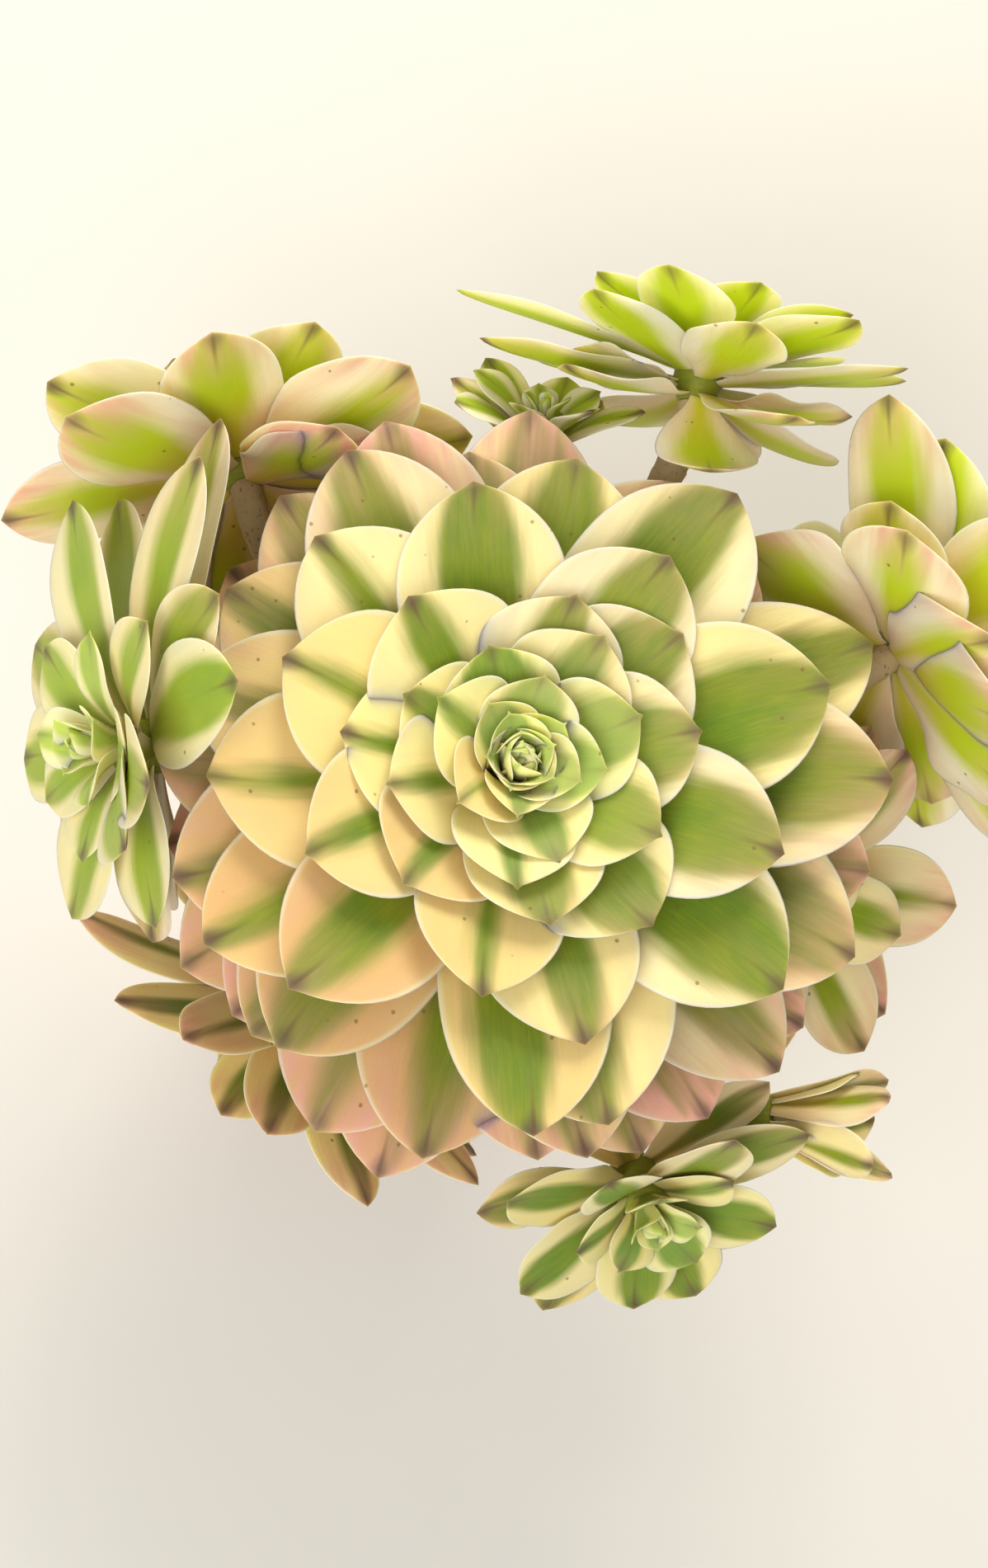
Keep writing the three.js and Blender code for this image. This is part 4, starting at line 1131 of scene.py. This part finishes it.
    # The stripe: its middle, its half width with a ragged edge, and its soft edge, all as
    # shares of the leaf's half width.
    middle = add_node(tree, "ShaderNodeMath", {"operation": "MULTIPLY_ADD", 1: 2, 2: -1},
                      {0: stripe_side})
    off_middle = add_node(tree, "ShaderNodeMath", {"operation": "SUBTRACT"},
                          {0: off_midrib.outputs["Fac"], 1: middle.outputs[0]})
    off_middle = add_node(tree, "ShaderNodeMath", {"operation": "ABSOLUTE"},
                          {0: off_middle.outputs[0]})
    ragged = add_node(tree, "ShaderNodeMath", {"operation": "MULTIPLY_ADD", 1: 0.08, 2: -0.19},
                      {0: fine})
    ragged = add_node(tree, "ShaderNodeMath", {"operation": "MULTIPLY_ADD", 1: 0.3},
                      {0: broad, 2: ragged.outputs[0]})
    half_width = add_node(tree, "ShaderNodeMath", {"operation": "MULTIPLY_ADD"},
                          {0: stripe_width, 1: steps["stripe_taper"], 2: ragged.outputs[0]})
    # The stripe's edge is softer where backlight is painted in.
    softness = add_node(tree, "ShaderNodeMath", {"operation": "MULTIPLY_ADD", 1: 0.12, 2: 0.17},
                        {0: painted_backlight})
    inner = add_node(tree, "ShaderNodeMath", {"operation": "SUBTRACT"},
                     {0: half_width.outputs[0], 1: softness.outputs[0]})
    outer = add_node(tree, "ShaderNodeMath", {"operation": "ADD"},
                     {0: half_width.outputs[0], 1: softness.outputs[0]})
    green_share = add_node(tree, "ShaderNodeMapRange",
                           {"interpolation_type": "SMOOTHSTEP", "To Min": 1.0, "To Max": 0.0},
                           {"Value": off_middle.outputs[0], "From Min": inner.outputs[0],
                            "From Max": outer.outputs[0]})

    # The green, lime or mint: streaked, paler in young leaves and painted lighter in the shaded
    # heart, and lightened by painted backlight as if light shone through. Then the cream, pale to
    # golden.
    lime = add_node(tree, "ShaderNodeMix", {"data_type": "RGBA", 6: "#717f03", 7: "#5c7a03"},
                    {0: steps["shade"]})
    mint = add_node(tree, "ShaderNodeMix", {"data_type": "RGBA", 6: "#a7be6e", 7: "#8dae62"},
                    {0: steps["shade"]})
    green = add_node(tree, "ShaderNodeMix", {"data_type": "RGBA"},
                     {0: mintness, 6: lime.outputs[2], 7: mint.outputs[2]})
    # Painted light: the greens are lightened in the shaded heart, and by painted backlight in the
    # rosettes that light shines through.
    for share, colour in ((steps["streak"], "#9fae12"), (young_pale_and_painted_light, "#cbd878"),
                          (painted_backlight, "#c2d620")):
        green = add_node(tree, "ShaderNodeMix", {"data_type": "RGBA", 7: colour},
                         {0: share, 6: green.outputs[2]})
    cream = add_node(tree, "ShaderNodeMix", {"data_type": "RGBA", 6: "#e9ddb2", 7: "#ebdb92"},
                     {0: steps["buttery"]})
    # The cream is lightened where fresh, partly with painted light in the heart, and by painted
    # backlight.
    for share, colour in ((steps["golden"], "#cfac6e"), (steps["patchy"], "#e4cf8c"),
                          (fresh, "#efee9c"), (painted_backlight, "#fbf2d2")):
        cream = add_node(tree, "ShaderNodeMix", {"data_type": "RGBA", 7: colour},
                         {0: share, 6: cream.outputs[2]})

    # Over both: the salmon flush, strongest at rim and tip, orange towards the root, the thin
    # pale rim, partly a real pale margin and partly a painted edge highlight, the dark point with
    # a line along the midrib behind it, and the specks.
    skin = add_node(tree, "ShaderNodeMix", {"data_type": "RGBA"},
                    {0: green_share.outputs["Result"], 6: cream.outputs[2],
                     7: green.outputs[2]})
    for share, colour in ((flushed, "#dca794"), (steps["orange"], "#e0a25e"),
                          (steps["rim"], "#f3e6c4"), (steps["dark_point"], "#5e4347"),
                          (dark_line, "#6b4a3a"), (steps["speck"], "#7d6038")):
        skin = add_node(tree, "ShaderNodeMix", {"data_type": "RGBA", 7: colour},
                        {0: share, 6: skin.outputs[2]})
    veins = add_node(tree, "ShaderNodeMath", {"operation": "MULTIPLY_ADD", 1: 0.35},
                     {0: grain, 2: fine})
    relief = add_node(tree, "ShaderNodeBump", {"Strength": 0.25, "Distance": 0.4 * MM},
                      {"Height": veins.outputs[0]})
    # Wax keeps the highlights soft. Light runs 3 mm through the flesh, least of it the blue.
    return shaded(material, {"Roughness": 0.42, "IOR": 1.43, "Specular IOR Level": 0.14,
                             "Subsurface Weight": 0.7, "Subsurface Scale": 3 * MM,
                             "Subsurface Radius": (1.0, 0.95, 0.35)},
                  {"Base Color": skin.outputs[2], "Normal": relief.outputs["Normal"]})


leaf_material = fleshy_leaf()
for rosette, leaves in zip(ROSETTES, grow_leaves()):
    form = MAIN_LEAF if rosette["number"] == 0 else SIDE_LEAF
    add_piece("leaves_of_" + rosette["name"], rosette_mesh(rosette, leaves, **form),
              leaf_material, rosette["name"])
